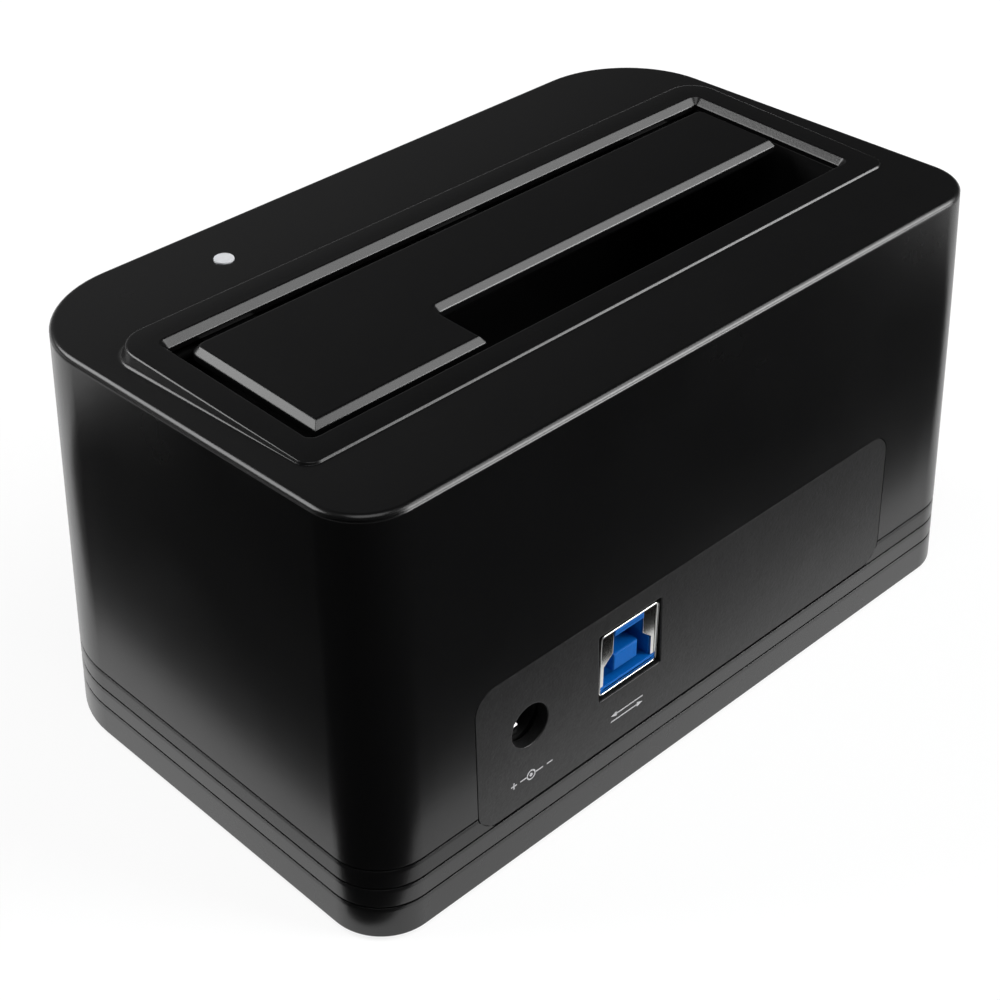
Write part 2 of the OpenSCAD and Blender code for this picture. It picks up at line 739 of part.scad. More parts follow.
// L-shaped door: chamfered plate with knuckles under its front edge and stiffening ribs
module flap() {
    middle = (flap_half + flap_far) / 2;
    half = (flap_half - flap_far) / 2;
    rib_front = flap_front + arm_root + rib_w;
    rib_rear = flap_rear - rib_in;
    color("#19191a")
    difference() {
        union() {
            difference() {
                translate([middle, 0, 0])
                    hull() {
                        corner_discs(half, flap_front, flap_rear, flap_low, flap_front_r, flap_rear_r);
                        corner_discs(half, flap_front, flap_rear, bezel_z - flap_chamfer,
                            flap_front_r, flap_rear_r);
                        corner_discs(half - flap_chamfer, flap_front + flap_chamfer, flap_rear - flap_chamfer,
                            bezel_z - skin, flap_front_r - flap_chamfer, flap_rear_r / 2);
                    }
                block([-slot_w, notch_y, flap_low - over], [notch_x, slot_rear, bezel_z + over]);
                hull() {
                    block([-slot_w, notch_y, bezel_z - flap_chamfer], [notch_x, slot_rear, bezel_z]);
                    rise = flap_chamfer + over;
                    block([-slot_w, notch_y - rise, bezel_z + over],
                        [notch_x + rise, slot_rear, bezel_z + 2 * over]);
                }
            }
            for (x = knuckle_x) {
                translate([x - knuckle_w / 2, hinge_y, hinge_z])
                    rotate([90, 0, 90])
                    linear_extrude(knuckle_w) {
                        circle(knuckle_r);
                        arm = [flap_front - hinge_y, hinge_drop - flap_t];
                        polygon([[0, knuckle_r - fit], [arm[0] - over, knuckle_r], arm + [arm_in, arm_in],
                            arm + [arm_root, arm_in], arm + [arm_root, -arm_in / 2],
                            knuckle_r * [cos(45), -sin(45)]]);
                    }
            }
            for (x = [notch_x + rib_in, flap_half - rib_in]) {
                block([x - rib_w / 2, rib_front, flap_low - rib_h],
                    [x + rib_w / 2, rib_rear, flap_low + rib_w / 2]);
            }
            block([flap_far + rib_in, notch_y - 2 * rib_w, flap_low - rib_h],
                [flap_half - rib_in, notch_y - rib_w, flap_low + rib_w / 2]);
        }
        translate([-base_w / 2, hinge_y, hinge_z])
            rotate([0, 90, 0])
            cylinder(r = pin_r + pin_play, h = base_w);
    }
}

// Steel rod that the flap turns on, held in the bay's end walls
module hinge_pin() {
    length = slot_w + 2 * bay_wall;
    color("#3c3d3f")
    translate([-length / 2, hinge_y, hinge_z])
        rotate([0, 90, 0])
        cylinder(r = pin_r, h = length);
}

// Sections of a wire: six points round each point of its path, in a plane square to the path
spring_sides = 6;
spring_steps = 8;
spring_start = knuckle_w / 2 + 4 * side_gap;
spring_lead = hinge_drop - flap_t - spring_wire / 2 - fit;
// The path, as X along the pin and Y, Z about it: leg under the flap, coil, short tail
spring_coil = [for (i = [0 : spring_turns * spring_steps])
    let (a = 90 - 360 * i / spring_steps)
    [spring_start + spring_pitch * i / spring_steps, spring_r * cos(a), spring_r * sin(a)]];
spring_path = concat([[spring_start, spring_leg, spring_lead], [spring_start, spring_r, spring_lead]],
    spring_coil);
function along(path, i) = path[min(i + 1, len(path) - 1)] - path[max(i - 1, 0)];
function wire_ring(path, i, r) =
    let (t = along(path, i) / norm(along(path, i)),
        across = cross(t, [1, 0, 0]),
        u = across / norm(across),
        v = cross(t, u))
    [for (k = [0 : spring_sides - 1])
        path[i] + r * cos(360 * k / spring_sides) * u + r * sin(360 * k / spring_sides) * v];
echo(least_gap_between_turns = spring_pitch - spring_wire);

// Torsion spring round the pin: one wire, wound between two knuckles, with its leg under the flap
module flap_spring() {
    rings = len(spring_path);
    points = [for (i = [0 : rings - 1]) each wire_ring(spring_path, i, spring_wire / 2)];
    sides = [for (i = [0 : rings - 2]) for (k = [0 : spring_sides - 1])
        let (a = i * spring_sides + k, b = i * spring_sides + (k + 1) % spring_sides)
        each [[a, b, b + spring_sides], [a, b + spring_sides, a + spring_sides]]];
    ends = [[for (k = [0 : spring_sides - 1]) spring_sides - 1 - k],
        [for (k = [0 : spring_sides - 1]) (rings - 1) * spring_sides + k]];
    color("#8e8e8a")
    translate([0, hinge_y, hinge_z])
        polyhedron(points, concat(sides, ends));
}

// Clear rod that carries the light of the board up to the cover, with a collar under the cover
module light_pipe() {
    foot_z = board_top + led_h;
    tip_z = top_z(light_y) + light_proud;
    dome_r = light_d * 1.6;
    collar_z = under_z(light_y - light_d) - fit - collar_h;
    color("#e9ecef")
    translate([light_x, light_y, 0]) {
        intersection() {
            translate([0, 0, foot_z])
                cylinder(d = light_d, h = tip_z - foot_z);
            translate([0, 0, tip_z - dome_r])
                rotate_extrude()
                polygon(concat([[0, foot_z - tip_z - over], [light_d, foot_z - tip_z - over]],
                    [for (a = [30 : 10 : 90]) dome_r * [cos(a), sin(a)]]));
        }
        translate([0, 0, collar_z])
            difference() {
                cylinder(d = light_d + 2 * collar_w, h = collar_h);
                translate([0, 0, -over])
                    cylinder(d = light_d - fit, h = collar_h + 2 * over);
            }
    }
}

// Lamp on the board under the light pipe
module status_led() {
    color("#f4f2e4")
    translate([light_x, light_y, board_top]) {
        block([-led_w / 2, -led_w / 4, 0], [led_w / 2, led_w / 4, led_h / 2]);
        cylinder(d = led_lens_d, h = led_h);
    }
}

// Circuit board across the base, with its screw holes
module main_board() {
    color("#1f5a34")
    difference() {
        block([-board_half, -board_front, board_z], [board_half, board_rear, board_top]);
        for (p = board_screws_at) {
            translate([p[0], p[1], board_z - over])
                cylinder(d = small_screw_d + 6 * fit, h = board_t + 2 * over);
        }
    }
}

// Slots of the drive connector: the longer one for power and the shorter one for signals
sata_power_l = 21.5;
sata_signal_l = 11.5;
sata_guide = 2;
sata_edge = 3;
sata_slot_w = 2.4;
sata_slot_depth = 6;
sata_pitch = 1.27;
sata_slots = [[-sata_l / 2 + sata_edge, sata_power_l],
    [sata_l / 2 - sata_edge - sata_signal_l, sata_signal_l]];

// Upright drive connector with two keyed slots and a guide at each end
module sata_housing() {
    color("#101011")
    translate([sata_x, sata_y, board_top])
        difference() {
            union() {
                block([-sata_l / 2, -sata_w / 2, 0], [sata_l / 2, sata_w / 2, sata_h - sata_guide]);
                for (x = [-sata_l / 2, sata_l / 2 - sata_guide]) {
                    block([x, -sata_w / 2, sata_h - 2 * sata_guide], [x + sata_guide, sata_w / 2, sata_h]);
                }
            }
            for (s = sata_slots) {
                translate([s[0], 0, sata_h - sata_guide - sata_slot_depth]) {
                    block([0, -sata_slot_w / 2, 0], [s[1], sata_slot_w / 2, sata_slot_depth + over]);
                    block([0, -sata_slot_w, 0], [sata_slot_w / 2, 0, sata_slot_depth + over]);
                }
            }
        }
}

// Contact blades along one side of each slot
module sata_contacts() {
    blade = [0.7, 0.35, sata_slot_depth - over];
    slot_z = board_top + sata_h - sata_guide - sata_slot_depth;
    color("#d8b25a")
    translate([sata_x, sata_y + sata_slot_w / 2 - blade[1], slot_z])
        for (s = sata_slots) {
            for (x = [s[0] + sata_slot_w - blade[1] : sata_pitch : s[0] + s[1] - over]) {
                translate([x, 0, 0])
                    cube(blade);
            }
        }
}

// Sizes of the socket: its cavity is wide below and narrow above
cheek_bar = 0.8;
cheek_slant = 1.6;
usb_recess = 0.25;
usb_front = usb_recess + usb_sheet + fit;
usb_sill = 1.2;
usb_roof = 1.4;
usb_cavity_depth = 9;
usb_inner = usb_w / 2 - usb_sheet;
usb_neck_half = usb_inner - cheek_w;
usb_leg_in = 4;
usb_leg_w = 2;
tongue_z = 2.95;

// Folded metal shell of the socket with a plate in each upper corner and feet on the board
module usb_shell() {
    plate_low = usb_sill + 2 * fit;
    color("#d5d7da")
    translate([usb_x, usb_mouth, usb_z]) {
        difference() {
            block([-usb_w / 2, -usb_l, 0], [usb_w / 2, 0, usb_h]);
            block([-usb_inner, -usb_l + usb_sheet, usb_sheet], [usb_inner, over, usb_h - usb_sheet]);
        }
        for (sx = [0, 1]) {
            mirror([sx, 0, 0])
                translate([0, -usb_recess, 0])
                rotate([90, 0, 0])
                linear_extrude(usb_sheet)
                polygon([[usb_inner + fit, usb_h - usb_sheet / 2], [usb_neck_half, usb_h - usb_sheet / 2],
                    [usb_neck_half, usb_h - cheek_h], [usb_inner - cheek_bar, usb_h - cheek_h - cheek_slant],
                    [usb_inner - cheek_bar, plate_low], [usb_inner + fit, plate_low]]);
        }
        for (sx = [-1, 1]) {
            for (y = [-usb_leg_in, usb_leg_in - usb_l]) {
                translate([sx * (usb_w / 2 - usb_sheet / 2), y, -usb_lift])
                    block([-usb_sheet / 2, -usb_leg_w / 2, 0],
                        [usb_sheet / 2, usb_leg_w / 2, usb_sheet + usb_lift]);
            }
        }
    }
}

// Blue insulator that fills the shell, with a cavity, lips at its mouth and the tongue in its middle
module usb_insulator() {
    half = usb_inner - fit;
    cavity_half = usb_inner - over;
    shoulder = usb_h - cheek_h;
    color("#1650b4")
    translate([usb_x, usb_mouth, usb_z]) {
        difference() {
            block([-half, -usb_l + usb_sheet + fit, usb_sheet + fit],
                [half, -usb_front, usb_h - usb_sheet - fit]);
            translate([0, over, 0])
                rotate([90, 0, 0])
                linear_extrude(usb_cavity_depth + over)
                polygon([[-cavity_half, usb_sill], [cavity_half, usb_sill],
                    [cavity_half, shoulder - usb_sill], [usb_neck_half, shoulder],
                    [usb_neck_half, usb_h - usb_roof], [-usb_neck_half, usb_h - usb_roof],
                    [-usb_neck_half, shoulder], [-cavity_half, shoulder - usb_sill]]);
        }
        block([-half, -usb_front - over, usb_sheet + fit], [half, -2 * fit, usb_sill]);
        block([2 * fit - usb_neck_half, -usb_front - over, usb_h - usb_roof],
            [usb_neck_half - 2 * fit, -2 * fit, usb_h - usb_sheet - fit]);
        block([-tongue_w / 2, -usb_cavity_depth - over, tongue_z],
            [tongue_w / 2, -tongue_in, tongue_z + tongue_h]);
    }
}

// Contact strips on both faces of the tongue and along the neck's ceiling
module usb_contacts() {
    strip = [0.7, 5, 0.2];
    tongue_pitch = 2.5;
    neck_pitch = 1.1;
    color("#d8b25a")
    translate([usb_x, usb_mouth - usb_cavity_depth, usb_z]) {
        for (x = [-tongue_pitch / 2, tongue_pitch / 2]) {
            for (z = [tongue_z - strip[2], tongue_z + tongue_h]) {
                translate([x - strip[0] / 2, 0, z])
                    cube(strip);
            }
        }
        for (i = [-2 : 2]) {
            translate([i * neck_pitch - strip[0] / 2, 0, usb_h - usb_roof - strip[2]])
                cube(strip);
        }
    }
}

// Moulded power inlet with its round bore
module inlet_body() {
    color("#0e0e0f")
    translate([inlet_x, inlet_front, board_top])
        difference() {
            block([-inlet_w / 2, -inlet_l, 0], [inlet_w / 2, 0, inlet_h]);
            translate([0, -inlet_depth, inlet_rise])
                rotate([-90, 0, 0])
                cylinder(d = inlet_bore_d, h = inlet_depth + over);
        }
}

// Centre pin of the inlet
module inlet_pin() {
    length = inlet_depth - inlet_pin_in - inlet_pin_d / 2;
    color("#c8cacd")
    translate([inlet_x, inlet_front - inlet_depth, inlet_z])
        rotate([-90, 0, 0])
        union() {
            cylinder(d = inlet_pin_d, h = length);
            translate([0, 0, length])
                sphere(d = inlet_pin_d);
        }
}

// Sprung leaf along the bottom of the inlet's bore, which rises to its bend and falls to its end
module inlet_contact() {
    low = fit - sqrt(pow(inlet_bore_d / 2, 2) - pow(leaf_w / 2, 2));
    under = [for (t = [0 : 0.1 : 1]) [leaf_in + t * leaf_l, low + leaf_bend * sin(180 * sqrt(t))]];
    upper = [for (i = [len(under) - 1 : -1 : 0]) under[i] + [0, leaf_t]];
    color("#c8cacd")
    translate([inlet_x - leaf_w / 2, inlet_front, inlet_z])
        rotate([90, 0, 90])
        mirror([1, 0, 0])
        linear_extrude(leaf_w)
        polygon(concat(under, upper));
}

// Places of the parts that stand on the board behind and in front of the bay
rear_strip_y = (bay_rear + bay_wall + board_rear) / 2;
front_strip_y = (pocket_y - bay_wall - board_front) / 2;
crystal_x = usb_x - part_pitch;
bridge_x = crystal_x - part_pitch;
memory_x = bridge_x - part_pitch;
regulator_x = light_x - 2 * part_pitch;
choke_x = regulator_x - part_pitch;
bulk_x = [choke_x - part_pitch, choke_x - 2 * part_pitch];

// Sizes of the smaller packages
bridge_h = 1.4;
bridge_legs = 8;
bridge_pitch = 0.9;
small_chip = [5, 4, 1.5];
small_legs = 4;
small_pitch = 1.27;
crystal_size = [4.4, 10, 3.4];
crystal_r = 2;
choke_plate = 1;
choke_h = 4.4;
choke_r = 1.5;
capacitor = [2, 1.2, 1.1];
capacitor_pitch = 2.5;

// Flat package with a row of legs along each listed side
module chip(size, legs, pitch, four_sided) {
    leg = [pitch * 0.45, 0.9, 0.25];
    block([-size[0] / 2, -size[1] / 2, leg[2] / 2], [size[0] / 2, size[1] / 2, size[2]]);
    for (a = four_sided ? [0, 90, 180, 270] : [0, 180]) {
        rotate(a)
            for (i = [0 : legs - 1]) {
                translate([(i - (legs - 1) / 2) * pitch - leg[0] / 2, size[1] / 2 - 2 * fit, 0])
                    cube(leg);
            }
    }
}

// Controller between the drive connector and the USB socket
module bridge_chip() {
    color("#1b1b1d")
    translate([bridge_x, rear_strip_y, board_top])
        chip([bridge_w, bridge_w, bridge_h], bridge_legs, bridge_pitch, true);
}

// Small memory for the controller's program
module memory_chip() {
    color("#1b1b1d")
    translate([memory_x, rear_strip_y, board_top])
        chip(small_chip, small_legs, small_pitch, false);
}

// Converter for the drive's supply
module regulator_chip() {
    color("#1b1b1d")
    translate([regulator_x, front_strip_y, board_top])
        chip(small_chip, small_legs, small_pitch, false);
}

// Clock crystal in its can
module crystal() {
    color("#c4c6c9")
    translate([crystal_x, rear_strip_y, board_top])
        linear_extrude(crystal_size[2])
        rounded_rect(crystal_size[0], crystal_size[1], crystal_r);
}

// Choke of the converter
module power_inductor() {
    color("#3a3b3e")
    translate([choke_x, front_strip_y, board_top]) {
        cylinder(d = 0.8 * choke_w, h = choke_h - choke_plate / 2);
        for (z = [0, choke_h - choke_plate]) {
            translate([0, 0, z])
                linear_extrude(choke_plate)
                rounded_rect(choke_w, choke_w, choke_r);
        }
    }
}

// Standing capacitors beside the choke, with a cross on their tops
module bulk_capacitors() {
    vent = [bulk_d * 0.6, 0.4, 0.3];
    color("#2b3c63")
    for (x = bulk_x) {
        translate([x, front_strip_y, board_top])
            difference() {
                cylinder(d = bulk_d, h = bulk_h);
                for (a = [0, 90]) {
                    rotate(a)
                        translate([-vent[0] / 2, -vent[1] / 2, bulk_h - vent[2]])
                        cube([vent[0], vent[1], over]);
                }
            }
    }
}

// Chip capacitors beside the controller and the converter
module small_capacitors() {
    rear_at = rear_strip_y + bridge_w / 2 + capacitor[0];
    front_at = front_strip_y + small_chip[1] / 2 + capacitor[0];
    color("#b59c78")
    for (p = [for (i = [-2 : 2]) [bridge_x + i * capacitor_pitch, rear_at],
            for (i = [-1 : 1]) [regulator_x + i * capacitor_pitch, front_at]]) {
        translate([p[0] - capacitor[0] / 2, p[1] - capacitor[1] / 2, board_top])
            cube(capacitor);
    }
}

// Screws that hold the board on the base's posts
module board_screws() {
    color("#9fa3a7")
    for (p = board_screws_at) {
        translate([p[0], p[1], board_top])
            rotate([180, 0, 0])
            screw_up(small_screw_d, board_screw_l + board_t, small_head_d, small_head_h);
    }
}

// Screws that hold the bay under the cover
module bay_screws() {
    color("#9fa3a7")
    for (p = bay_screws_at) {
        translate([p[0], p[1], lug_z])
            screw_up(small_screw_d, bay_screw_l, small_head_d, small_head_h);
    }
}

// Screws through the base's posts into the cover's posts
module case_screws() {
    color("#2a2b2d")
    for (p = case_posts_at) {
        translate([p[0], p[1], case_seat_z])
            screw_up(case_screw_d, case_screw_l, case_head_d, case_head_h);
    }
}

// Rubber feet, a little proud of the base, with a shallow dish under each
module rubber_feet() {
    color("#242426")
    for (p = feet_at) {
        translate([p[0], p[1], 0])
            difference() {
                cylinder(d = foot_d, h = foot_h + foot_seat);
                translate([0, 0, -over])
                    cylinder(d = foot_d / 2, h = over + foot_h / 2);
            }
    }
}

body_sleeve();
top_cover();
base_tray();
io_panel();
drive_bay();
flap();
hinge_pin();
flap_spring();
light_pipe();
status_led();
main_board();
sata_housing();
sata_contacts();
usb_shell();
usb_insulator();
usb_contacts();
inlet_body();
inlet_pin();
inlet_contact();
bridge_chip();
memory_chip();
regulator_chip();
crystal();
power_inductor();
bulk_capacitors();
small_capacitors();
board_screws();
bay_screws();
case_screws();
rubber_feet();
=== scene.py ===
"""Hard drive docking station in satin black plastic: its looks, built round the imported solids."""
import math

import bmesh
import bpy
import numpy as np
from mathutils import Matrix
from mathutils.geometry import delaunay_2d_cdt


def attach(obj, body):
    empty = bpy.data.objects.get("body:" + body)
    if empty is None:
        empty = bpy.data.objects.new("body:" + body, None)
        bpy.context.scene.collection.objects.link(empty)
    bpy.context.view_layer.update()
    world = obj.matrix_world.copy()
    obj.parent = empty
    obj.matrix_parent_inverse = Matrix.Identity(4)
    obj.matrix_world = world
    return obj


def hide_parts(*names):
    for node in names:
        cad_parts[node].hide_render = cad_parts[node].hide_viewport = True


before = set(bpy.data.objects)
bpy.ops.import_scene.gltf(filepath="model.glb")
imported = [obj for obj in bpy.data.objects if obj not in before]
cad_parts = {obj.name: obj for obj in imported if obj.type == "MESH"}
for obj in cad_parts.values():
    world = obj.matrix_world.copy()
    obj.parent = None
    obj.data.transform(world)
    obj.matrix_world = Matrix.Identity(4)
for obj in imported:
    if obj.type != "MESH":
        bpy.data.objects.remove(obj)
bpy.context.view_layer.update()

# Sizes of the dock in millimetres, those of its solids or within a few tenths: X along the slot, +Y to the rear, Z up
FOOT_H, BASE_TOP, CASE_H = 0.5, 9.35, 68.4
BASE_HALF, BASE_DEPTH = 63.606, 38.755
REAR_ANGLE = math.radians(2.1)
END_LEAN, FRONT_LEAN, TOP_FALL = (math.tan(math.radians(a)) for a in (1.33, 0.9, 2.3))
REAR_LEAN = math.tan(REAR_ANGLE)
FRONT_R, REAR_R, WALL = 17.0, 8.5, 2.0
STEP_Z, GROOVE_Z, GROOVE_H, GROOVE_IN, LEDGE_IN, LEDGE_H = 12.65, 6.0, 0.4, 0.6, 0.05, 0.5
COVER_T, RIM_H, EDGE_R, EDGE_TURN, SEAM = 1.8, 0.6, 0.85, math.radians(72), 0.15
BEZEL_HALF, BEZEL_FRONT, BEZEL_REAR, BEZEL_Z = 57.25, -17.785, 21.515, 68.108
CEILING_Z = 66.308
SLOT_HALF, SLOT_FRONT, SLOT_REAR, SLOT_CHAMFER = 52.45, -12.785, 16.315, 1.05
FLAP_HALF, FLAP_FRONT, FLAP_REAR, FLAP_LOW, FLAP_CHAMFER = 50.85, -10.585, 15.315, 66.108, 0.95
NOTCH_X, NOTCH_Y = 20.85, 5.365
HINGE_Y, HINGE_Z, KNUCKLE_R, KNUCKLE_X, PIN_R = -13.985, 64.208, 1.7, 42.05, 0.86
PANEL_X, PANEL_W, PANEL_Z, PANEL_H, PANEL_R, PANEL_GAP = 1.1, 87.413, 9.5, 23.7, 3.4, 0.15
USB_X, USB_Y, USB_Z, USB_W, USB_H, USB_GAP, USB_SHEET = 15.056, 37.638, 18.8, 11.9, 10.8, 0.4, 0.3
INLET_X, INLET_Z, INLET_R = 34.856, 22.8, 3.4
LIGHT_X, LIGHT_Y, LIGHT_R = 31.15, -27.88, 1.48
BOW = 0.35
MM = 0.001
REAR_TOP = BASE_DEPTH - (CASE_H - FOOT_H) * REAR_LEAN
FRONT_TOP = -37.73
FRONT_Z = CASE_H - (REAR_TOP - FRONT_TOP) * TOP_FALL


def case_half(z):
    """Half width of the case at a height: it falls evenly with the lean of the end walls."""
    return BASE_HALF - (z - FOOT_H) * END_LEAN


def case_rear(z):
    """Rear wall's distance behind the middle at a height."""
    return BASE_DEPTH - (z - FOOT_H) * REAR_LEAN


def case_front(z):
    """Front wall's place at a height."""
    return -BASE_DEPTH + (z - FOOT_H) * FRONT_LEAN


def top_z(y):
    """Height of the sloping top: the rear edge's height less the fall to the place y."""
    return CASE_H - (REAR_TOP - y) * TOP_FALL


CORNER_STEPS = 18


def outline(half, front, rear, r_front, r_rear, rear_x=None):
    """Rounded rectangles, one row of points for each level: quarter circles about the four corner centres,
    taken anticlockwise from the middle of the front, joined by straight sides. rear_x adds points on the rear side."""
    half, front, rear, rf, rr = (np.atleast_1d(np.asarray(v, float))[:, None]
                                 for v in np.broadcast_arrays(half, front, rear, r_front, r_rear))
    a = np.linspace(0, math.pi / 2, CORNER_STEPS)[None]
    c, s = np.cos(a), np.sin(a)
    x = [half - rf + rf * s, half - rr + rr * c]
    y = [front + rf - rf * c, rear - rr + rr * s]
    if rear_x is not None:
        x.append(np.broadcast_to(rear_x, (half.shape[0], np.shape(rear_x)[-1])))
        y.append(np.broadcast_to(rear, x[-1].shape))
    x += [-(half - rr) - rr * s, -(half - rf) - rf * c]
    y += [rear - rr + rr * c, front + rf - rf * s]
    return np.concatenate(x, 1), np.concatenate(y, 1)


def case_ring(z, inset, rear_x=None):
    """Level rings of the leaning case at the heights z, moved inwards by inset."""
    z, inset = np.broadcast_arrays(np.asarray(z, float), np.asarray(inset, float))
    x, y = outline(case_half(z) - inset, case_front(z) + inset, case_rear(z) - inset,
                   FRONT_R - inset, REAR_R - inset, rear_x)
    return np.stack([x, y, np.broadcast_to(z[:, None], x.shape)], -1)


def sloping_ring(drop, inset):
    """Rings parallel to the sloping top, a drop below it: the case's outline there, lifted onto the slope."""
    drop, inset = np.broadcast_arrays(np.asarray(drop, float), np.asarray(inset, float))
    middle = (CASE_H + FRONT_Z) / 2 - drop
    x, y = outline(case_half(middle) - inset, case_front(FRONT_Z - drop) + inset, case_rear(CASE_H - drop) - inset,
                   FRONT_R - inset, REAR_R - inset)
    z = top_z(y) - drop[:, None]
    x = x + np.sign(x) * (case_half(z) - case_half(middle[:, None]))
    return np.stack([x, y, z], -1)


def bowed(points):
    """Rear wall's slight bow: from half its height up it curves in, with the square of the height above there."""
    y, z = points[..., 1], points[..., 2]
    depth = BOW * (np.clip(z - CASE_H / 2, 0, None) / (CASE_H / 2)) ** 2 * np.clip(y / 25, 0, 1)
    return np.stack([points[..., 0], y - depth, z], -1)


def level_ring(half, front, rear, z, r_front, r_rear):
    """Level rounded rectangles, such as the bezel's and the slot's edges."""
    x, y = outline(half, front, rear, r_front, r_rear)
    z = np.broadcast_to(np.atleast_1d(np.asarray(z, float))[:, None], x.shape)
    return np.stack([x, y, z], -1)


def strip(rings, keep=None):
    """Skin over a grid of points: each closed ring is joined to the next by a band of quads. keep drops cells."""
    rings = np.asarray(rings, float)
    rows, cols = rings.shape[:2]
    index = np.arange(rows * cols).reshape(rows, cols)
    index = np.concatenate([index, index[:, :1]], 1)
    quads = np.stack([index[:-1, :-1], index[:-1, 1:], index[1:, 1:], index[1:, :-1]], -1)
    quads = quads.reshape(-1, 4) if keep is None else quads[keep]
    return rings.reshape(-1, 3), quads


def inside(points, loop):
    """Which points lie inside a closed loop, by counting the loop's sides that a ray to +X crosses."""
    p, a, b = points[:, None], loop[None], np.roll(loop, -1, 0)[None]
    spans = (a[..., 1] > p[..., 1]) != (b[..., 1] > p[..., 1])
    rise = np.where(b[..., 1] == a[..., 1], 1e-12, b[..., 1] - a[..., 1])
    cross = a[..., 0] + (p[..., 1] - a[..., 1]) * (b[..., 0] - a[..., 0]) / rise
    return ((p[..., 0] < cross) & spans).sum(1) % 2 == 1


def flat_fill(outer, holes=(), axes=(0, 1)):
    """Flat face between an outer loop and its holes, which all lie in one plane: the loops' sides are kept in a
    triangulation of their points, and the triangles in the holes are left out. axes are the plane's two main axes."""
    loops = [np.asarray(outer, float), *(np.asarray(h, float) for h in holes)]
    points = np.concatenate(loops)
    starts = np.cumsum([0, *(len(l) for l in loops)])
    edges = np.concatenate([np.stack([np.arange(len(l)), np.roll(np.arange(len(l)), -1)], 1) + s
                            for l, s in zip(loops, starts)])
    flat = points[:, axes]
    _, _, tris, origin, _, _ = delaunay_2d_cdt(flat.tolist(), edges.tolist(), [], 1, 1e-7)
    tris = np.array([t for t in tris if len(t) == 3])
    source = np.array([o[0] for o in origin])
    tris = source[tris]
    middle = flat[tris].mean(1)
    keep = inside(middle, flat[:len(loops[0])])
    for h in loops[1:]:
        keep &= ~inside(middle, h[:, axes])
    return points, tris[keep]


def shell(outer, inner, keep):
    """Wall between two grids of the same kind: the outer skin, the inner skin, and a rim along every free edge."""
    points, quads = strip(outer, keep)
    n = len(points)
    sides = np.stack([quads, np.roll(quads, -1, 1)], -1).reshape(-1, 2)
    ordered = np.sort(sides, 1)
    _, first, count = np.unique(ordered, axis=0, return_index=True, return_counts=True)
    free = sides[first[count == 1]]
    rim = np.stack([free[:, 1], free[:, 0], free[:, 0] + n, free[:, 1] + n], 1)
    return np.concatenate([points, inner.reshape(-1, 3)]), np.concatenate([quads, quads[:, ::-1] + n, rim])


def fillet(a, corner, b, steps=5):
    """Soft edge: points of the curve that leaves a towards the corner and comes in to b from it."""
    t = np.linspace(0, 1, steps)[:, None]
    a, corner, b = (np.asarray(v, float) for v in (a, corner, b))
    return (1 - t) ** 2 * a + 2 * t * (1 - t) * corner + t ** 2 * b


def soft_profile(points, radii):
    """Profile through the points whose corners are replaced by soft edges of the given sizes. A point close to each
    end of a soft edge keeps the plain faces beside it flat in their shading."""
    p = np.asarray(points, float)
    sizes = [0.0, *radii, 0.0]
    rows = [p[:1]]
    for k in range(1, len(p) - 1):
        r = sizes[k]
        if r == 0:
            rows.append(p[k:k + 1])
            continue
        ends = []
        for other in (k - 1, k + 1):
            way = p[other] - p[k]
            length = np.linalg.norm(way)
            guard = min(0.05, (length - r - sizes[other]) / 3)
            ends.append((p[k] + way / length * r, p[k] + way / length * (r + guard)))
        (a, before), (b, after) = ends
        rows += [before[None], fillet(a, p[k], b), after[None]]
    rows.append(p[-1:])
    return np.concatenate(rows)


def rounded_polygon(points, radii, inset=0.0, steps=8):
    """Closed outline with square corners, moved inwards and rounded: each corner is a quarter circle from its
    incoming side to its outgoing side, smaller at outer corners and larger at inner ones as the inset grows."""
    p = np.asarray(points, float)
    go = np.roll(p, -1, 0) - p
    out = go / np.linalg.norm(go, axis=1, keepdims=True)
    come = np.roll(out, 1, 0)
    turn = come[:, 0] * out[:, 1] - come[:, 1] * out[:, 0]
    left = np.stack([-out[:, 1], out[:, 0]], 1) + np.stack([-come[:, 1], come[:, 0]], 1)
    p = p + left * inset
    r = np.maximum(np.asarray(radii, float) - turn * inset, 0.06)[:, None]
    a = np.linspace(0, math.pi / 2, steps)[None, :, None]
    centre = p - r * come + r * out
    arcs = centre[:, None] + r[:, None] * (come[:, None] * np.sin(a) - out[:, None] * np.cos(a))
    return arcs.reshape(-1, 2)


def circle(x, y, r, steps=40):
    """Points of a circle."""
    a = np.arange(steps) * 2 * math.pi / steps
    return np.stack([x + r * np.cos(a), y + r * np.sin(a)], 1)


def turned(profile, x, y, steps=48):
    """Turned form: a profile of radius and height carried round an upright axis at x, y."""
    r, z = np.asarray(profile, float).T
    a = np.arange(steps) * 2 * math.pi / steps
    return strip(np.stack([x + r[:, None] * np.cos(a), y + r[:, None] * np.sin(a),
                           np.repeat(z[:, None], steps, 1)], -1))


def lifted(loop, z):
    """Flat loop set at a height, or at the heights z of its points."""
    return np.concatenate([loop, np.broadcast_to(np.reshape(z, (-1, 1)), (len(loop), 1))], 1)


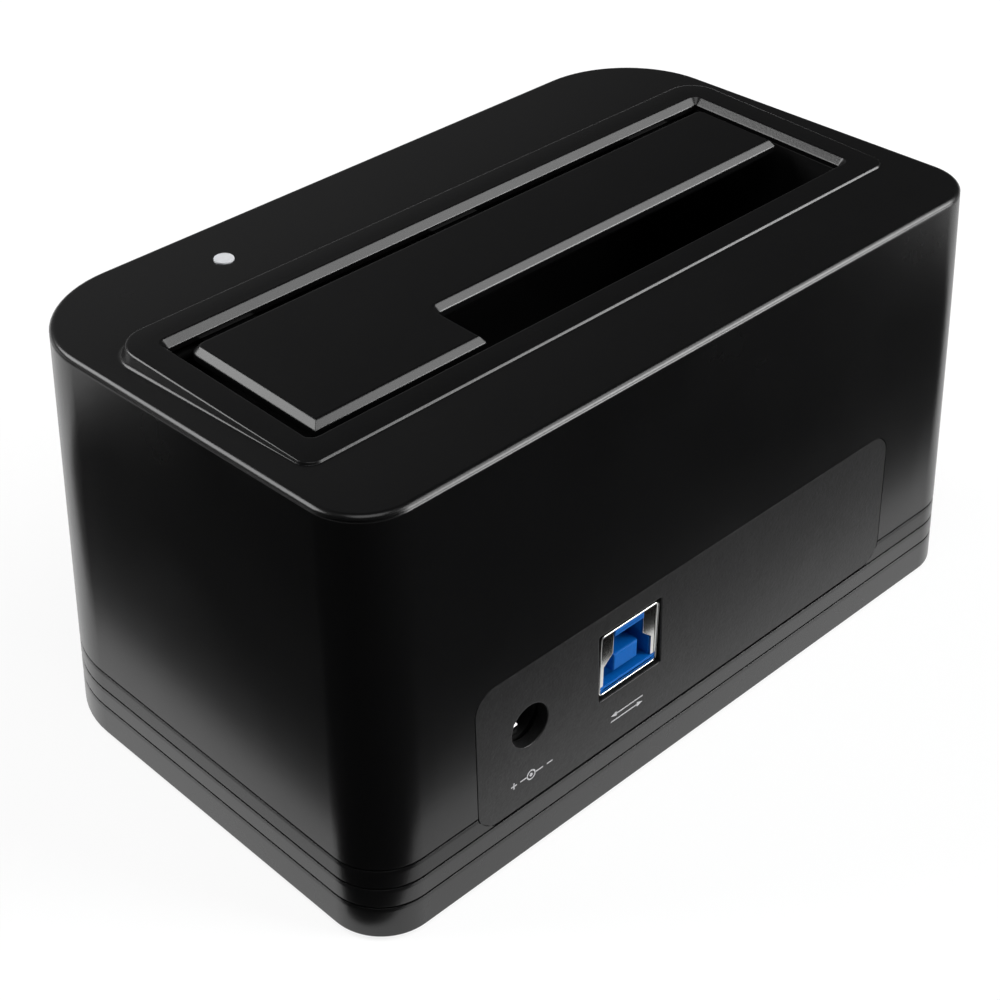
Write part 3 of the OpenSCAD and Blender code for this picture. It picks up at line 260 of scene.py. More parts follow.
def make_piece(name, parts, material, body, replaces=(), sharp=32.0):
    """Joins the parts of a piece into one mesh in the dock's frame, closes its seams and sets it on its body."""
    starts = np.cumsum([0, *(len(v) for v, _ in parts)])
    points = np.concatenate([v for v, _ in parts]) * MM
    faces = [f for (_, q), s in zip(parts, starts) for f in (np.asarray(q) + s).tolist()]
    mesh = bpy.data.meshes.new(name)
    mesh.from_pydata(points, [], faces)
    work = bmesh.new()
    work.from_mesh(mesh)
    bmesh.ops.remove_doubles(work, verts=work.verts, dist=2e-6)
    bmesh.ops.delete(work, geom=[v for v in work.verts if not v.link_faces], context="VERTS")
    bmesh.ops.recalc_face_normals(work, faces=work.faces)
    work.to_mesh(mesh)
    work.free()
    mesh.polygons.foreach_set("use_smooth", np.ones(len(mesh.polygons), bool))
    mesh.set_sharp_from_angle(angle=math.radians(sharp))
    mesh.materials.append(material)
    piece = bpy.data.objects.new(name, mesh)
    bpy.context.scene.collection.objects.link(piece)
    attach(piece, body)
    if replaces:
        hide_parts(*replaces)


# Materials

def new_group(name, inputs, outputs):
    """Shader node group with named number inputs and outputs, and its two end nodes."""
    group = bpy.data.node_groups.new(name, "ShaderNodeTree")
    for label, value in inputs:
        socket = group.interface.new_socket(label, in_out="INPUT", socket_type="NodeSocketFloat")
        socket.default_value = value
    for label in outputs:
        group.interface.new_socket(label, in_out="OUTPUT", socket_type="NodeSocketFloat")
    return group, group.nodes.new("NodeGroupInput"), group.nodes.new("NodeGroupOutput")


def noise(tree, scale, detail, rough):
    """Noise texture on Object coordinates, with its scale from a socket."""
    coords = tree.nodes.new("ShaderNodeTexCoord")
    node = tree.nodes.new("ShaderNodeTexNoise")
    node.inputs["Detail"].default_value = detail
    node.inputs["Roughness"].default_value = rough
    tree.links.new(coords.outputs["Object"], node.inputs["Vector"])
    tree.links.new(scale, node.inputs["Scale"])
    return node.outputs[0]


def maths(tree, kind, a, b):
    """One sum of two sockets or numbers."""
    node = tree.nodes.new("ShaderNodeMath")
    node.operation = kind
    for k, v in enumerate((a, b)):
        if isinstance(v, (int, float)):
            node.inputs[k].default_value = v
        else:
            tree.links.new(v, node.inputs[k])
    return node.outputs[0]


def moulded_grain():
    """Moulded plastic's skin: a fine spark-eroded grain with a coarser one over it, and clouds of gloss."""
    group, enter, leave = new_group("moulded_grain", [("Grain", 3200.0), ("Clouds", 45.0)], ["Height", "Gloss"])
    fine = noise(group, enter.outputs["Grain"], 2.0, 0.6)
    coarse = noise(group, maths(group, "MULTIPLY", enter.outputs["Grain"], 0.35), 2.0, 0.5)
    clouds = noise(group, enter.outputs["Clouds"], 4.0, 0.6)
    mixed = maths(group, "ADD", maths(group, "MULTIPLY", fine, 0.65), maths(group, "MULTIPLY", coarse, 0.35))
    group.links.new(mixed, leave.inputs["Height"])
    group.links.new(clouds, leave.inputs["Gloss"])
    return group


GRAIN = moulded_grain()


def two_tone(tree, mask, dark, light):
    """Colour that goes from dark to light with a mask."""
    mix = tree.nodes.new("ShaderNodeMix")
    mix.data_type = "RGBA"
    tree.links.new(mask, mix.inputs[0])
    mix.inputs[6].default_value = (*dark, 1)
    mix.inputs[7].default_value = (*light, 1)
    return mix.outputs[2]


def spread(tree, value, low, high, start=0.3, stop=0.7):
    """Number that runs from low to high as the value runs from start to stop, for noise the middle of its range."""
    node = tree.nodes.new("ShaderNodeMapRange")
    tree.links.new(value, node.inputs[0])
    for k, v in enumerate((start, stop, low, high)):
        node.inputs[k + 1].default_value = v
    return node.outputs[0]


def grained_material(name, dark, light, rough, grain, bump, ior=1.45, metallic=0.0):
    """Principled finish with the moulded grain in its colour, roughness and bump."""
    material = bpy.data.materials.new(name)
    material.use_nodes = True
    tree = material.node_tree
    shader = tree.nodes["Principled BSDF"]
    skin = tree.nodes.new("ShaderNodeGroup")
    skin.node_tree = GRAIN
    skin.inputs["Grain"].default_value = grain
    colour = two_tone(tree, spread(tree, skin.outputs["Height"], 0.0, 1.0), dark, light)
    tree.links.new(colour, shader.inputs["Base Color"])
    tree.links.new(spread(tree, skin.outputs["Gloss"], *rough), shader.inputs["Roughness"])
    relief = tree.nodes.new("ShaderNodeBump")
    relief.inputs["Strength"].default_value = bump
    relief.inputs["Distance"].default_value = 0.00004
    tree.links.new(skin.outputs["Height"], relief.inputs["Height"])
    tree.links.new(relief.outputs["Normal"], shader.inputs["Normal"])
    shader.inputs["IOR"].default_value = ior
    shader.inputs["Metallic"].default_value = metallic
    return material


SATIN = (0.0022, 0.0022, 0.0023), (0.0034, 0.0034, 0.0036)
case_black = grained_material("case_black", *SATIN, (0.23, 0.28), 3200, 0.3)
base_black = grained_material("base_black", *SATIN, (0.25, 0.3), 3200, 0.3, ior=1.58)
panel_black = grained_material("panel_black", (0.0005, 0.0005, 0.0005), (0.0115, 0.0115, 0.0119), (0.4, 0.46), 2300,
                               1.0)
flap_black = grained_material("flap_black", *SATIN, (0.23, 0.28), 3200, 0.3)
bay_black = grained_material("bay_black", (0.004, 0.004, 0.0041), (0.006, 0.006, 0.0062), (0.45, 0.55), 2400, 0.5)
pin_black = grained_material("pin_black", (0.002, 0.002, 0.002), (0.003, 0.003, 0.0031), (0.6, 0.7), 1800, 0.2,
                             ior=1.15)
lens_white = grained_material("lens_white", (0.57, 0.58, 0.6), (0.64, 0.65, 0.67), (0.2, 0.3), 1500, 0.1)
lamp_body = grained_material("lamp_body", (0.7, 0.68, 0.58), (0.8, 0.78, 0.66), (0.3, 0.4), 1500, 0.1)
board_green = grained_material("board_green", (0.012, 0.07, 0.03), (0.018, 0.1, 0.045), (0.3, 0.4), 900, 0.3)
connector_black = grained_material("connector_black", (0.006, 0.006, 0.006), (0.01, 0.01, 0.01), (0.4, 0.5), 3000, 0.4)
contact_gold = grained_material("contact_gold", (0.75, 0.52, 0.18), (0.9, 0.68, 0.3), (0.2, 0.3), 2000, 0.2,
                                metallic=1.0)
shell_nickel = grained_material("shell_nickel", (0.62, 0.62, 0.61), (0.72, 0.72, 0.7), (0.07, 0.11), 900, 0.04,
                                metallic=1.0)
usb_blue = grained_material("usb_blue", (0.0, 0.08, 0.33), (0.0, 0.105, 0.4), (0.4, 0.5), 3000, 0.3, ior=1.22)
plated = grained_material("plated", (0.6, 0.6, 0.61), (0.74, 0.74, 0.75), (0.12, 0.22), 1500, 0.15, metallic=1.0)
chip_black = grained_material("chip_black", (0.012, 0.012, 0.013), (0.02, 0.02, 0.021), (0.5, 0.6), 3500, 0.5)
steel = grained_material("steel", (0.4, 0.4, 0.41), (0.55, 0.55, 0.56), (0.22, 0.35), 1600, 0.25, metallic=1.0)
ferrite = grained_material("ferrite", (0.03, 0.03, 0.032), (0.05, 0.05, 0.052), (0.5, 0.65), 2500, 0.6)
can_blue = grained_material("can_blue", (0.02, 0.035, 0.09), (0.03, 0.05, 0.12), (0.3, 0.4), 1200, 0.2)
chip_tan = grained_material("chip_tan", (0.3, 0.22, 0.13), (0.42, 0.32, 0.2), (0.45, 0.6), 3000, 0.4)
screw_black = grained_material("screw_black", (0.03, 0.03, 0.031), (0.05, 0.05, 0.052), (0.3, 0.42), 1800, 0.3,
                               metallic=0.8)
print_grey = grained_material("print_grey", (0.36, 0.36, 0.37), (0.46, 0.46, 0.47), (0.5, 0.6), 2200, 0.3)
foot_rubber = grained_material("foot_rubber", (0.008, 0.008, 0.008), (0.014, 0.014, 0.014), (0.65, 0.8), 2600, 0.7)

NODE_FINISH = {
    "body_sleeve": case_black, "top_cover": case_black, "base_tray": base_black, "io_panel": panel_black,
    "drive_bay": bay_black, "flap": flap_black, "hinge_pin": pin_black, "flap_spring": pin_black,
    "light_pipe": lens_white, "status_led": lamp_body, "main_board": board_green, "sata_housing": connector_black,
    "sata_contacts": contact_gold, "usb_shell": shell_nickel, "usb_insulator": usb_blue, "usb_contacts": contact_gold,
    "inlet_body": connector_black, "inlet_pin": plated, "inlet_contact": plated, "bridge_chip": chip_black,
    "memory_chip": chip_black, "regulator_chip": chip_black, "crystal": steel, "power_inductor": ferrite,
    "bulk_capacitors": can_blue, "small_capacitors": chip_tan, "board_screws": steel, "bay_screws": steel,
    "case_screws": screw_black, "rubber_feet": foot_rubber,
}
for node, finish in NODE_FINISH.items():
    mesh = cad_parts[node].data
    mesh.materials.clear()
    mesh.materials.append(finish)


# Body sleeve: leaning wall with the step above the base, and the window for the port panel
WINDOW_R = PANEL_R + PANEL_GAP
WINDOW_RIGHT = PANEL_X + PANEL_W / 2 + PANEL_GAP
WINDOW_LEFT = PANEL_X - PANEL_W / 2 - PANEL_GAP
WINDOW_TOP = PANEL_Z + PANEL_H * math.cos(REAR_ANGLE) + PANEL_GAP


def body_sleeve():
    """Grid of rings up the leaning wall. Below the window's upper corners the rings keep their heights, and the
    columns between the window's sides are left out. Above, the heights run evenly from the window's upper edge,
    which is a quarter circle near each side, to the sloping seam under the cover."""
    band = soft_profile([(BASE_TOP + 0.02, 0.9), (BASE_TOP + 0.02, 0), (STEP_Z - GROOVE_H - LEDGE_H, 0),
                         (STEP_Z - GROOVE_H, LEDGE_IN), (STEP_Z - GROOVE_H, GROOVE_IN), (STEP_Z, GROOVE_IN),
                         (STEP_Z, 0), (STEP_Z + 2, 0)], [0.015, 0.1, 0.04, 0.03, 0.05, 0.015])
    straight = np.stack([np.linspace(STEP_Z + 3, WINDOW_TOP - WINDOW_R, 5), np.zeros(5)], 1)
    low = np.concatenate([band, straight])
    share = np.concatenate([np.linspace(0, 0.985, 9), [0.992, 0.996, 0.999, 1.0]])
    edge_in = np.concatenate([np.zeros(9), [0.0, 0.03, 0.11, 0.26]])
    rows_low, rows_high = len(low), len(share)
    inset = np.concatenate([low[:, 1], edge_in])
    # columns of the rear side, from its +X end: two beside the window, the window's own, and two more
    turn = np.linspace(0, math.pi / 2, 10)
    right = WINDOW_RIGHT - WINDOW_R * (1 - np.cos(turn))
    left = WINDOW_LEFT + WINDOW_R * (1 - np.cos(turn))
    inner = np.linspace(right[-1], left[-1], 12)[1:-1]
    columns = np.concatenate([[51.0], right, inner, left[::-1], [-50.0]])
    over = WINDOW_TOP - WINDOW_R + np.concatenate([[0.0], WINDOW_R * np.sin(turn), np.full(len(inner), WINDOW_R),
                                                   WINDOW_R * np.sin(turn)[::-1], [0.0]])
    z_low = np.concatenate([low[:, 0], np.full(rows_high, WINDOW_TOP - WINDOW_R)])
    side = np.repeat(columns[None], rows_low + rows_high, 0)
    # near the base the window's sides curve in under the panel's lower corners
    sink = np.clip(BASE_TOP + WINDOW_R - z_low, 0, WINDOW_R)
    tuck = WINDOW_R - np.sqrt(np.maximum(WINDOW_R ** 2 - sink ** 2, 0))
    tuck[rows_low:] = 0
    side[:, 1] -= tuck
    side[:, len(columns) - 2] += tuck
    first = 2 * CORNER_STEPS

    def grid(depth):
        """Rings at the given depths behind the outside: level ones, then those from the window's edge to the seam."""
        rings = case_ring(z_low, depth, side)
        base = np.full(rings.shape[1], WINDOW_TOP - WINDOW_R)
        base[first:first + len(columns)] = over
        crest = top_z(rings[-1, :, 1]) - RIM_H - SEAM
        z = base + share[:, None] * (crest - base)
        low_ring, high_ring = (case_ring(np.full(rows_high, h), depth[rows_low:], columns[None]) for h in (20.0, 60.0))
        upper = low_ring + (high_ring - low_ring) * (z[..., None] - 20.0) / 40.0
        return bowed(np.concatenate([rings[:rows_low], upper]))

    outer = grid(inset)
    inner_skin = grid(np.full(len(inset), WALL))
    keep = np.ones((len(outer) - 1, outer.shape[1]), bool)
    keep[:rows_low, first + 1:first + len(columns) - 2] = False
    return shell(outer, inner_skin, keep)


make_piece("body_sleeve_skin", [body_sleeve()], case_black, "case", ["body_sleeve"])


# Top cover: rounded rim, sloping plane, level bezel with soft edges, chamfered slot, hollow underside
def top_cover():
    """Rings from the rim's foot over its rounded edge to the sloping plane, which is filled flat up to the bezel's
    foot and round the light's hole. The bezel's side leans out to a hollow curve at its foot, its upper edge is soft,
    and the slot's chamfer and wall lead down to the hollow's ceiling. The underside closes the form."""
    turn = np.linspace(EDGE_TURN, 0, 9)
    under_in, lip_in, guard = 4.2, 2.15, 0.06
    rim = np.concatenate([[(COVER_T, under_in), (COVER_T, lip_in), (RIM_H, lip_in), (RIM_H, guard)],
                          np.stack([EDGE_R * (1 - np.cos(turn)), EDGE_R * (math.sin(EDGE_TURN) - np.sin(turn))], 1),
                          [(0, EDGE_R * math.sin(EDGE_TURN) + guard)]])
    outer = bowed(sloping_ring(rim[:, 0], rim[:, 1]))
    r_front, r_rear = 4.5, 2.2

    def bezel_ring(out, z):
        """Bezel's outline moved outwards by out, which may differ along it."""
        base = level_ring(BEZEL_HALF, BEZEL_FRONT, BEZEL_REAR, 0, r_front, r_rear)[0]
        grown = level_ring(BEZEL_HALF + 1, BEZEL_FRONT - 1, BEZEL_REAR + 1, 0, r_front + 1, r_rear + 1)[0]
        ring = base + (grown - base) * np.reshape(out, (-1, 1))
        ring[:, 2] = z
        return ring

    plain = bezel_ring(0.0, 0.0)
    rise = BEZEL_Z - top_z(plain[:, 1])
    # along the rear, where the bezel is low, its side is a small steep chamfer; elsewhere it leans out to its foot
    low = np.clip((0.75 - rise) / 0.4, 0, 1)
    spread_out = (0.35 + 0.35 * rise) * (1 - low) + 0.1 * low
    corner = 0.25 - 0.37 * low
    foot = bezel_ring(spread_out, 0.0)
    foot[:, 2] = top_z(foot[:, 1])
    curve = np.minimum(0.5, 0.4 * rise) * (1 - low) + 0.03 * low
    start = bezel_ring(spread_out + curve, 0.0)
    start[:, 2] = top_z(start[:, 1])
    skirt = bezel_ring(spread_out + curve + guard, 0.0)
    skirt[:, 2] = top_z(skirt[:, 1])
    height = BEZEL_Z - foot[:, 2]
    end = bezel_ring(spread_out + (corner - spread_out) * curve / height, foot[:, 2] + curve)
    soft = np.minimum(0.32, 0.4 * rise) * (1 - low) + 0.06 * low
    side = bezel_ring(corner + (spread_out - corner) * soft / height, BEZEL_Z - soft)
    crest = bezel_ring(corner, BEZEL_Z)
    level = bezel_ring(corner - 0.34 * (1 - low) - 0.1 * low, BEZEL_Z)
    bezel = [skirt, *fillet(start.ravel(), foot.ravel(), end.ravel(), 6).reshape(6, -1, 3),
             *fillet(side.ravel(), crest.ravel(), level.ravel(), 6).reshape(6, -1, 3)]
    chamfer = soft_profile([(2.2, BEZEL_Z), (SLOT_CHAMFER, BEZEL_Z), (0, BEZEL_Z - SLOT_CHAMFER), (0, CEILING_Z)],
                           [0.16, 0.16])
    slot_edge = level_ring(SLOT_HALF + chamfer[:, 0], SLOT_FRONT - chamfer[:, 0], SLOT_REAR + chamfer[:, 0],
                           chamfer[:, 1], 0.35 + 1.1 * chamfer[:, 0], 0.4 + 1.1 * chamfer[:, 0])
    slot_shift = -0.1
    slot_edge[..., 0] += slot_shift
    inner = np.concatenate([np.stack(bezel), slot_edge])
    wall, hollow_r = 1.4, 2.2
    hollow = level_ring([BEZEL_HALF - wall] * 2, BEZEL_FRONT + wall, BEZEL_REAR - wall, CEILING_Z, hollow_r, hollow_r)
    hollow[1, :, 2] = top_z(hollow[1, :, 1]) - COVER_T
    light = circle(LIGHT_X, LIGHT_Y, LIGHT_R + 0.1)
    hole = np.stack([lifted(light, top_z(light[:, 1]) - d) for d in (0, COVER_T)])
    return [strip(outer), flat_fill(outer[-1], [skirt, hole[0]]), strip(inner),
            strip(np.concatenate([slot_edge[-1:], hollow])), strip(hole), flat_fill(outer[0], [hollow[1], hole[1]])]


make_piece("top_cover_skin", top_cover(), case_black, "case", ["top_cover"])


# Base tray: banded skirt with two grooves, floor with the seats of the feet and the holes of the case screws
FEET = [(sx * 38.006, sy * 27.005) for sx in (-1, 1) for sy in (-1, 1)]
CASE_SCREWS = [(sx * x, y) for sx in (-1, 1) for x, y in ((52.006, -28.005), (54.306, 29.205))]


def base_tray():
    """Rings from the inner floor up the inner wall and down the outside over the grooves to the underside, which is
    filled flat round the feet's seats and the screws' holes. Each seat and hole is a turned cup."""
    lip = WALL + 1.35
    rows = soft_profile([(FOOT_H + 2, lip), (BASE_TOP, lip), (BASE_TOP, GROOVE_IN), (BASE_TOP - GROOVE_H, GROOVE_IN),
                         (BASE_TOP - GROOVE_H, LEDGE_IN), (BASE_TOP - GROOVE_H - LEDGE_H, 0), (GROOVE_Z, 0),
                         (GROOVE_Z, GROOVE_IN), (GROOVE_Z - GROOVE_H, GROOVE_IN), (GROOVE_Z - GROOVE_H, LEDGE_IN),
                         (GROOVE_Z - GROOVE_H - LEDGE_H, 0), (FOOT_H, 0), (FOOT_H, 1.2)],
                        [0, 0, 0.03, 0.03, 0.1, 0.015, 0.05, 0.03, 0.03, 0.1, 0.2])
    rings = case_ring(rows[:, 0], rows[:, 1])
    seat_r, seat_depth, screw_r, screw_depth = 6.1, 1.0, 2.8, 1.9
    cups = [(x, y, seat_r, FOOT_H + seat_depth) for x, y in FEET]
    cups += [(x, y, screw_r, FOOT_H + screw_depth) for x, y in CASE_SCREWS]
    holes = [lifted(circle(x, y, r, 48), FOOT_H) for x, y, r, _ in cups]
    walls = [turned([(r, FOOT_H), (r, z), (0.01, z)], x, y) for x, y, r, z in cups]
    return [strip(rings), flat_fill(rings[-1], holes), flat_fill(rings[0]), *walls]


make_piece("base_tray_skin", base_tray(), base_black, "case", ["base_tray"])


# Port panel: plate in the plane of the leaning rear wall, with the two port openings
def on_rear_wall(loop, depth):
    """Points drawn along the case and up the wall, set at a depth behind the outside of the leaning rear wall."""
    x, v = loop[..., 0], loop[..., 1] - PANEL_Z
    c, s = math.cos(REAR_ANGLE), math.sin(REAR_ANGLE)
    return np.stack([x, case_rear(PANEL_Z) - v * s - depth * c, PANEL_Z + v * c - depth * s], -1)


def box_loop(x0, x1, z0, z1, r, inset=0.0):
    """Rounded rectangle between two corners, moved inwards."""
    return rounded_polygon([(x0, z0), (x1, z0), (x1, z1), (x0, z1)], [r] * 4, inset)


def io_panel():
    """Flat face between the panel's outline and its openings, with a soft edge round each that leads into the wall."""
    edge = soft_profile([(0.6, 0), (0, 0), (0, 1.95)], [0.04])
    rim = np.stack([on_rear_wall(box_loop(PANEL_X - PANEL_W / 2, PANEL_X + PANEL_W / 2, PANEL_Z, PANEL_Z + PANEL_H,
                                          PANEL_R, i), d) for i, d in edge])
    lip = soft_profile([(0.4, 0), (0, 0), (0, 1.95)], [0.18])
    half = USB_W / 2 + USB_GAP
    low, high = USB_Z - USB_GAP, USB_Z + USB_H + USB_GAP
    usb = np.stack([on_rear_wall(box_loop(USB_X - half, USB_X + half, low, high, 0.35, -i), d) for i, d in lip])
    inlet = np.stack([on_rear_wall(circle(INLET_X, INLET_Z, INLET_R + i, 64), d) for i, d in lip])
    return [strip(rim), strip(usb), strip(inlet), flat_fill(rim[0], [usb[0], inlet[0]], (0, 2)),
            flat_fill(rim[-1], [usb[-1], inlet[-1]], (0, 2))]


make_piece("io_panel_plate", io_panel(), panel_black, "case", ["io_panel"])


# USB socket: drawn shell with rounded edges, folded corner plates, and the blue insulator with its tongue
def at_mouth(loop, depth):
    """Points drawn across and up the socket, set at a depth behind its mouth."""
    loop = np.asarray(loop, float)
    return np.stack([USB_X + loop[..., 0], np.full(loop.shape[:-1], USB_Y - depth), USB_Z + loop[..., 1]], -1)


def moved_in(points, inset):
    """Closed outline with straight sides, each moved inwards by inset."""
    p = np.asarray(points, float)
    go = np.roll(p, -1, 0) - p
    out = go / np.linalg.norm(go, axis=1, keepdims=True)
    left = np.stack([-out[:, 1], out[:, 0]], 1)
    both = left + np.roll(left, 1, 0)
    return p + inset * both * 2 / (both ** 2).sum(1, keepdims=True)


def plate(points, front, back, edge):
    """Flat piece across the socket between two depths, with a soft edge round its front."""
    rows = soft_profile([(3 * edge, front), (0, front), (0, back)], [edge])
    rings = np.stack([at_mouth(moved_in(points, i), d) for i, d in rows])
    return [strip(rings), flat_fill(rings[0], (), (0, 2)), flat_fill(rings[-1], (), (0, 2))]


def rect(half, z0, z1):
    """Corners of a rectangle about the socket's middle."""
    return [(-half, z0), (half, z0), (half, z1), (-half, z1)]


def usb_shell():
    """Tube of thin sheet with a round front edge, closed at its back, and a folded plate in each upper corner."""
    wall = soft_profile([(0, 17.8), (0, 0), (USB_SHEET, 0), (USB_SHEET, 17.5)], [0.14, 0.14])
    rings = np.stack([at_mouth(box_loop(-USB_W / 2, USB_W / 2, 0, USB_H, 0.8, i), d) for i, d in wall])
    parts = [strip(rings), flat_fill(rings[0], (), (0, 2)), flat_fill(rings[-1], (), (0, 2))]
    cheek = np.array([(5.7, 1.3), (5.7, 10.6), (3.05, 10.6), (3.05, 6.4), (4.85, 4.8), (4.85, 1.3)])
    return parts + plate(cheek, 0.25, 0.55, 0.08) + plate(cheek[::-1] * (-1, 1), 0.25, 0.55, 0.08)


def usb_insulator():
    """Block behind the plates with a cavity that is wide below and narrow above, a sill and a lintel at the mouth,
    and the tongue, whose front edges are soft."""
    cavity = [(-4.65, 1.2), (4.65, 1.2), (4.65, 5.2), (3.05, 6.4),
              (3.05, 9.4), (-3.05, 9.4), (-3.05, 6.4), (-4.65, 5.2)]
    well = np.stack([at_mouth(cavity, d) for d in (0.6, 9.0)])
    block = np.stack([at_mouth(rect(5.6, 0.35, 10.45), d) for d in (0.6, 17.4)])
    parts = [strip(block), strip(well), flat_fill(block[0], [well[0]], (0, 2)), flat_fill(block[1], (), (0, 2)),
             flat_fill(well[1], (), (0, 2))]
    return (parts + plate(rect(5.55, 0.4, 1.35), 0.1, 1.6, 0.2) + plate(rect(2.95, 9.3, 10.4), 0.1, 1.6, 0.2)
            + plate(rect(2.45, 2.4, 5.4), 0.6, 9.5, 0.38))


make_piece("usb_shell_tube", usb_shell(), shell_nickel, "case", ["usb_shell"], 50.0)
make_piece("usb_insulator_block", usb_insulator(), usb_blue, "case", ["usb_insulator"])


# Printed symbols under the ports: two arrows for data, a polarity diagram for power
def printed(outer, holes=()):
    """Thin printed shape on the panel: its front stands a hair proud of the plate and its back lies inside it."""
    outer, holes = np.asarray(outer, float), [np.asarray(h, float) for h in holes]
    walls = [np.stack([on_rear_wall(loop, d) for d in (-0.015, 0.1)]) for loop in (outer, *holes)]
    return [strip(w) for w in walls] + [flat_fill(walls[0][k], [w[k] for w in walls[1:]], (0, 2)) for k in (0, 1)]


def symbols():
    """Arrows are seven-cornered outlines. The diagram is a ring about a dot, with a bar on each side that leads to a
    minus or a plus."""
    arrow = np.array([(-3.3, -0.11), (2.1, -0.11), (2.1, -0.42), (3.3, 0), (2.1, 0.42), (2.1, 0.11), (-3.3, 0.11)])
    bar = np.array([(-1, -0.11), (1, -0.11), (1, 0.11), (-1, 0.11)])
    parts = printed(arrow + (USB_X + 0.6, 14.4)) + printed(arrow * (-1, -1) + (USB_X + 0.6, 13.4))
    middle = (INLET_X, 14.0)
    parts += printed(circle(*middle, 0.85), [circle(*middle, 0.63)]) + printed(circle(*middle, 0.3))
    for x, length in ((-1.6, 0.7), (1.5, 0.6), (-3.6, 0.55), (3.3, 0.55)):
        parts += printed(bar * (length, 1) + (INLET_X + x, 14.0))
    for z in (13.68, 14.32):
        parts += printed(bar * (0.11, 2) + (INLET_X + 3.3, z))
    return parts


make_piece("port_symbols", symbols(), print_grey, "case")


# Flap: L-shaped door with a soft chamfer, knuckles under its front edge and stiffening ribs
FLAP_CORNERS = [(-FLAP_HALF, FLAP_FRONT), (FLAP_HALF, FLAP_FRONT), (FLAP_HALF, FLAP_REAR), (NOTCH_X, FLAP_REAR),
                (NOTCH_X, NOTCH_Y), (-FLAP_HALF, NOTCH_Y)]
FLAP_ROUND = [2.0, 2.0, 0.12, 0.6, 0.7, 0.5]


def prism(loop, bore, x0, x1):
    """Form of one section along the pin: its outer loop and its bore carried from x0 to x1, with flat ends."""
    def at(l, x):
        """Loop set square to the pin at x."""
        return np.stack([np.full(len(l), x), l[:, 0], l[:, 1]], 1)

    outer = np.stack([at(loop, x0), at(loop, x1)])
    parts = [strip(outer)]
    holes = [[], []]
    if bore is not None:
        tube = np.stack([at(bore, x0), at(bore, x1)])
        parts.append(strip(tube))
        holes = [[tube[0]], [tube[1]]]
    return parts + [flat_fill(outer[k], holes[k], (1, 2)) for k in (0, 1)]


def flap():
    """Outline carried from the underside up the edge and over the chamfer to the top, with soft edges, closed by two
    flat faces. Each knuckle is a round section with an arm to the plate, bored for the pin."""
    edge = soft_profile([(1.0, FLAP_LOW), (0, FLAP_LOW), (0, BEZEL_Z - FLAP_CHAMFER), (FLAP_CHAMFER, BEZEL_Z),
                         (2.0, BEZEL_Z)], [0.3, 0.2, 0.22])
    rings = np.stack([lifted(rounded_polygon(FLAP_CORNERS, FLAP_ROUND, i), z) for i, z in edge])
    parts = [strip(rings), flat_fill(rings[0]), flat_fill(rings[-1])]
    arm_y, arm_z = FLAP_FRONT - HINGE_Y, FLAP_LOW - HINGE_Z
    a = np.linspace(math.radians(90), math.radians(315), 30)
    hook = np.stack([KNUCKLE_R * np.cos(a), KNUCKLE_R * np.sin(a)], 1)
    arm = np.array([(arm_y + 4, arm_z - 0.2), (arm_y + 4, arm_z + 0.1), (arm_y + 0.4, arm_z + 0.1),
                    (arm_y * 0.7, KNUCKLE_R)])
    section = np.concatenate([hook, arm]) + (HINGE_Y, HINGE_Z)
    for x in (-KNUCKLE_X, 0.0, KNUCKLE_X):
        parts += prism(section, circle(HINGE_Y, HINGE_Z, PIN_R, 28), x - 4.5, x + 4.5)
    for x in (NOTCH_X + 4, FLAP_HALF - 4):
        rib = box_loop(FLAP_FRONT + 5.2, FLAP_REAR - 4, FLAP_LOW - 1.2, FLAP_LOW + 0.3, 0.3)
        parts += prism(rib, None, x - 0.6, x + 0.6)
    rib = box_loop(NOTCH_Y - 2.4, NOTCH_Y - 1.2, FLAP_LOW - 1.2, FLAP_LOW + 0.3, 0.3)
    return parts + prism(rib, None, -FLAP_HALF + 4, FLAP_HALF - 4)


make_piece("flap_door", flap(), flap_black, "flap", ["flap"])


# Light pipe: rod with a flat, soft-edged end that stands a little out of the cover, and a collar under it
def light_pipe():
    """Turned rod: foot over the lamp, collar under the cover, and a flat end just above the sloping top."""
    proud, foot_z, collar_h, collar_r, play = 0.24, 19.65, 1.4, LIGHT_R + 1, 0.15
    tip = top_z(LIGHT_Y) + proud
    under = top_z(LIGHT_Y) - COVER_T - play
    rod = soft_profile([(0.01, foot_z), (LIGHT_R, foot_z), (LIGHT_R, under - collar_h), (collar_r, under - collar_h),
                        (collar_r, under), (LIGHT_R, under), (LIGHT_R, tip), (0.01, tip)],
                       [0.2, 0.05, 0.15, 0.15, 0.05, 0.12])
    return [turned(rod, LIGHT_X, LIGHT_Y)]


make_piece("light_pipe_rod", light_pipe(), lens_white, "case", ["light_pipe"], 50.0)


# Camera, from the photograph's straight edges
def look(position, forward, roll):
    """Camera matrix from its place, the way it looks and its roll, in degrees."""
    f = np.asarray(forward, float) / np.linalg.norm(forward)
    right = np.cross(f, (0, 0, 1.0))
    right /= np.linalg.norm(right)
    up = np.cross(right, f)
    c, s = math.cos(math.radians(roll)), math.sin(math.radians(roll))
    right, up = c * right + s * up, c * up - s * right
    m = np.eye(4)
    m[:3, 0], m[:3, 1], m[:3, 2], m[:3, 3] = right, up, -f, position
    return Matrix(m.tolist())


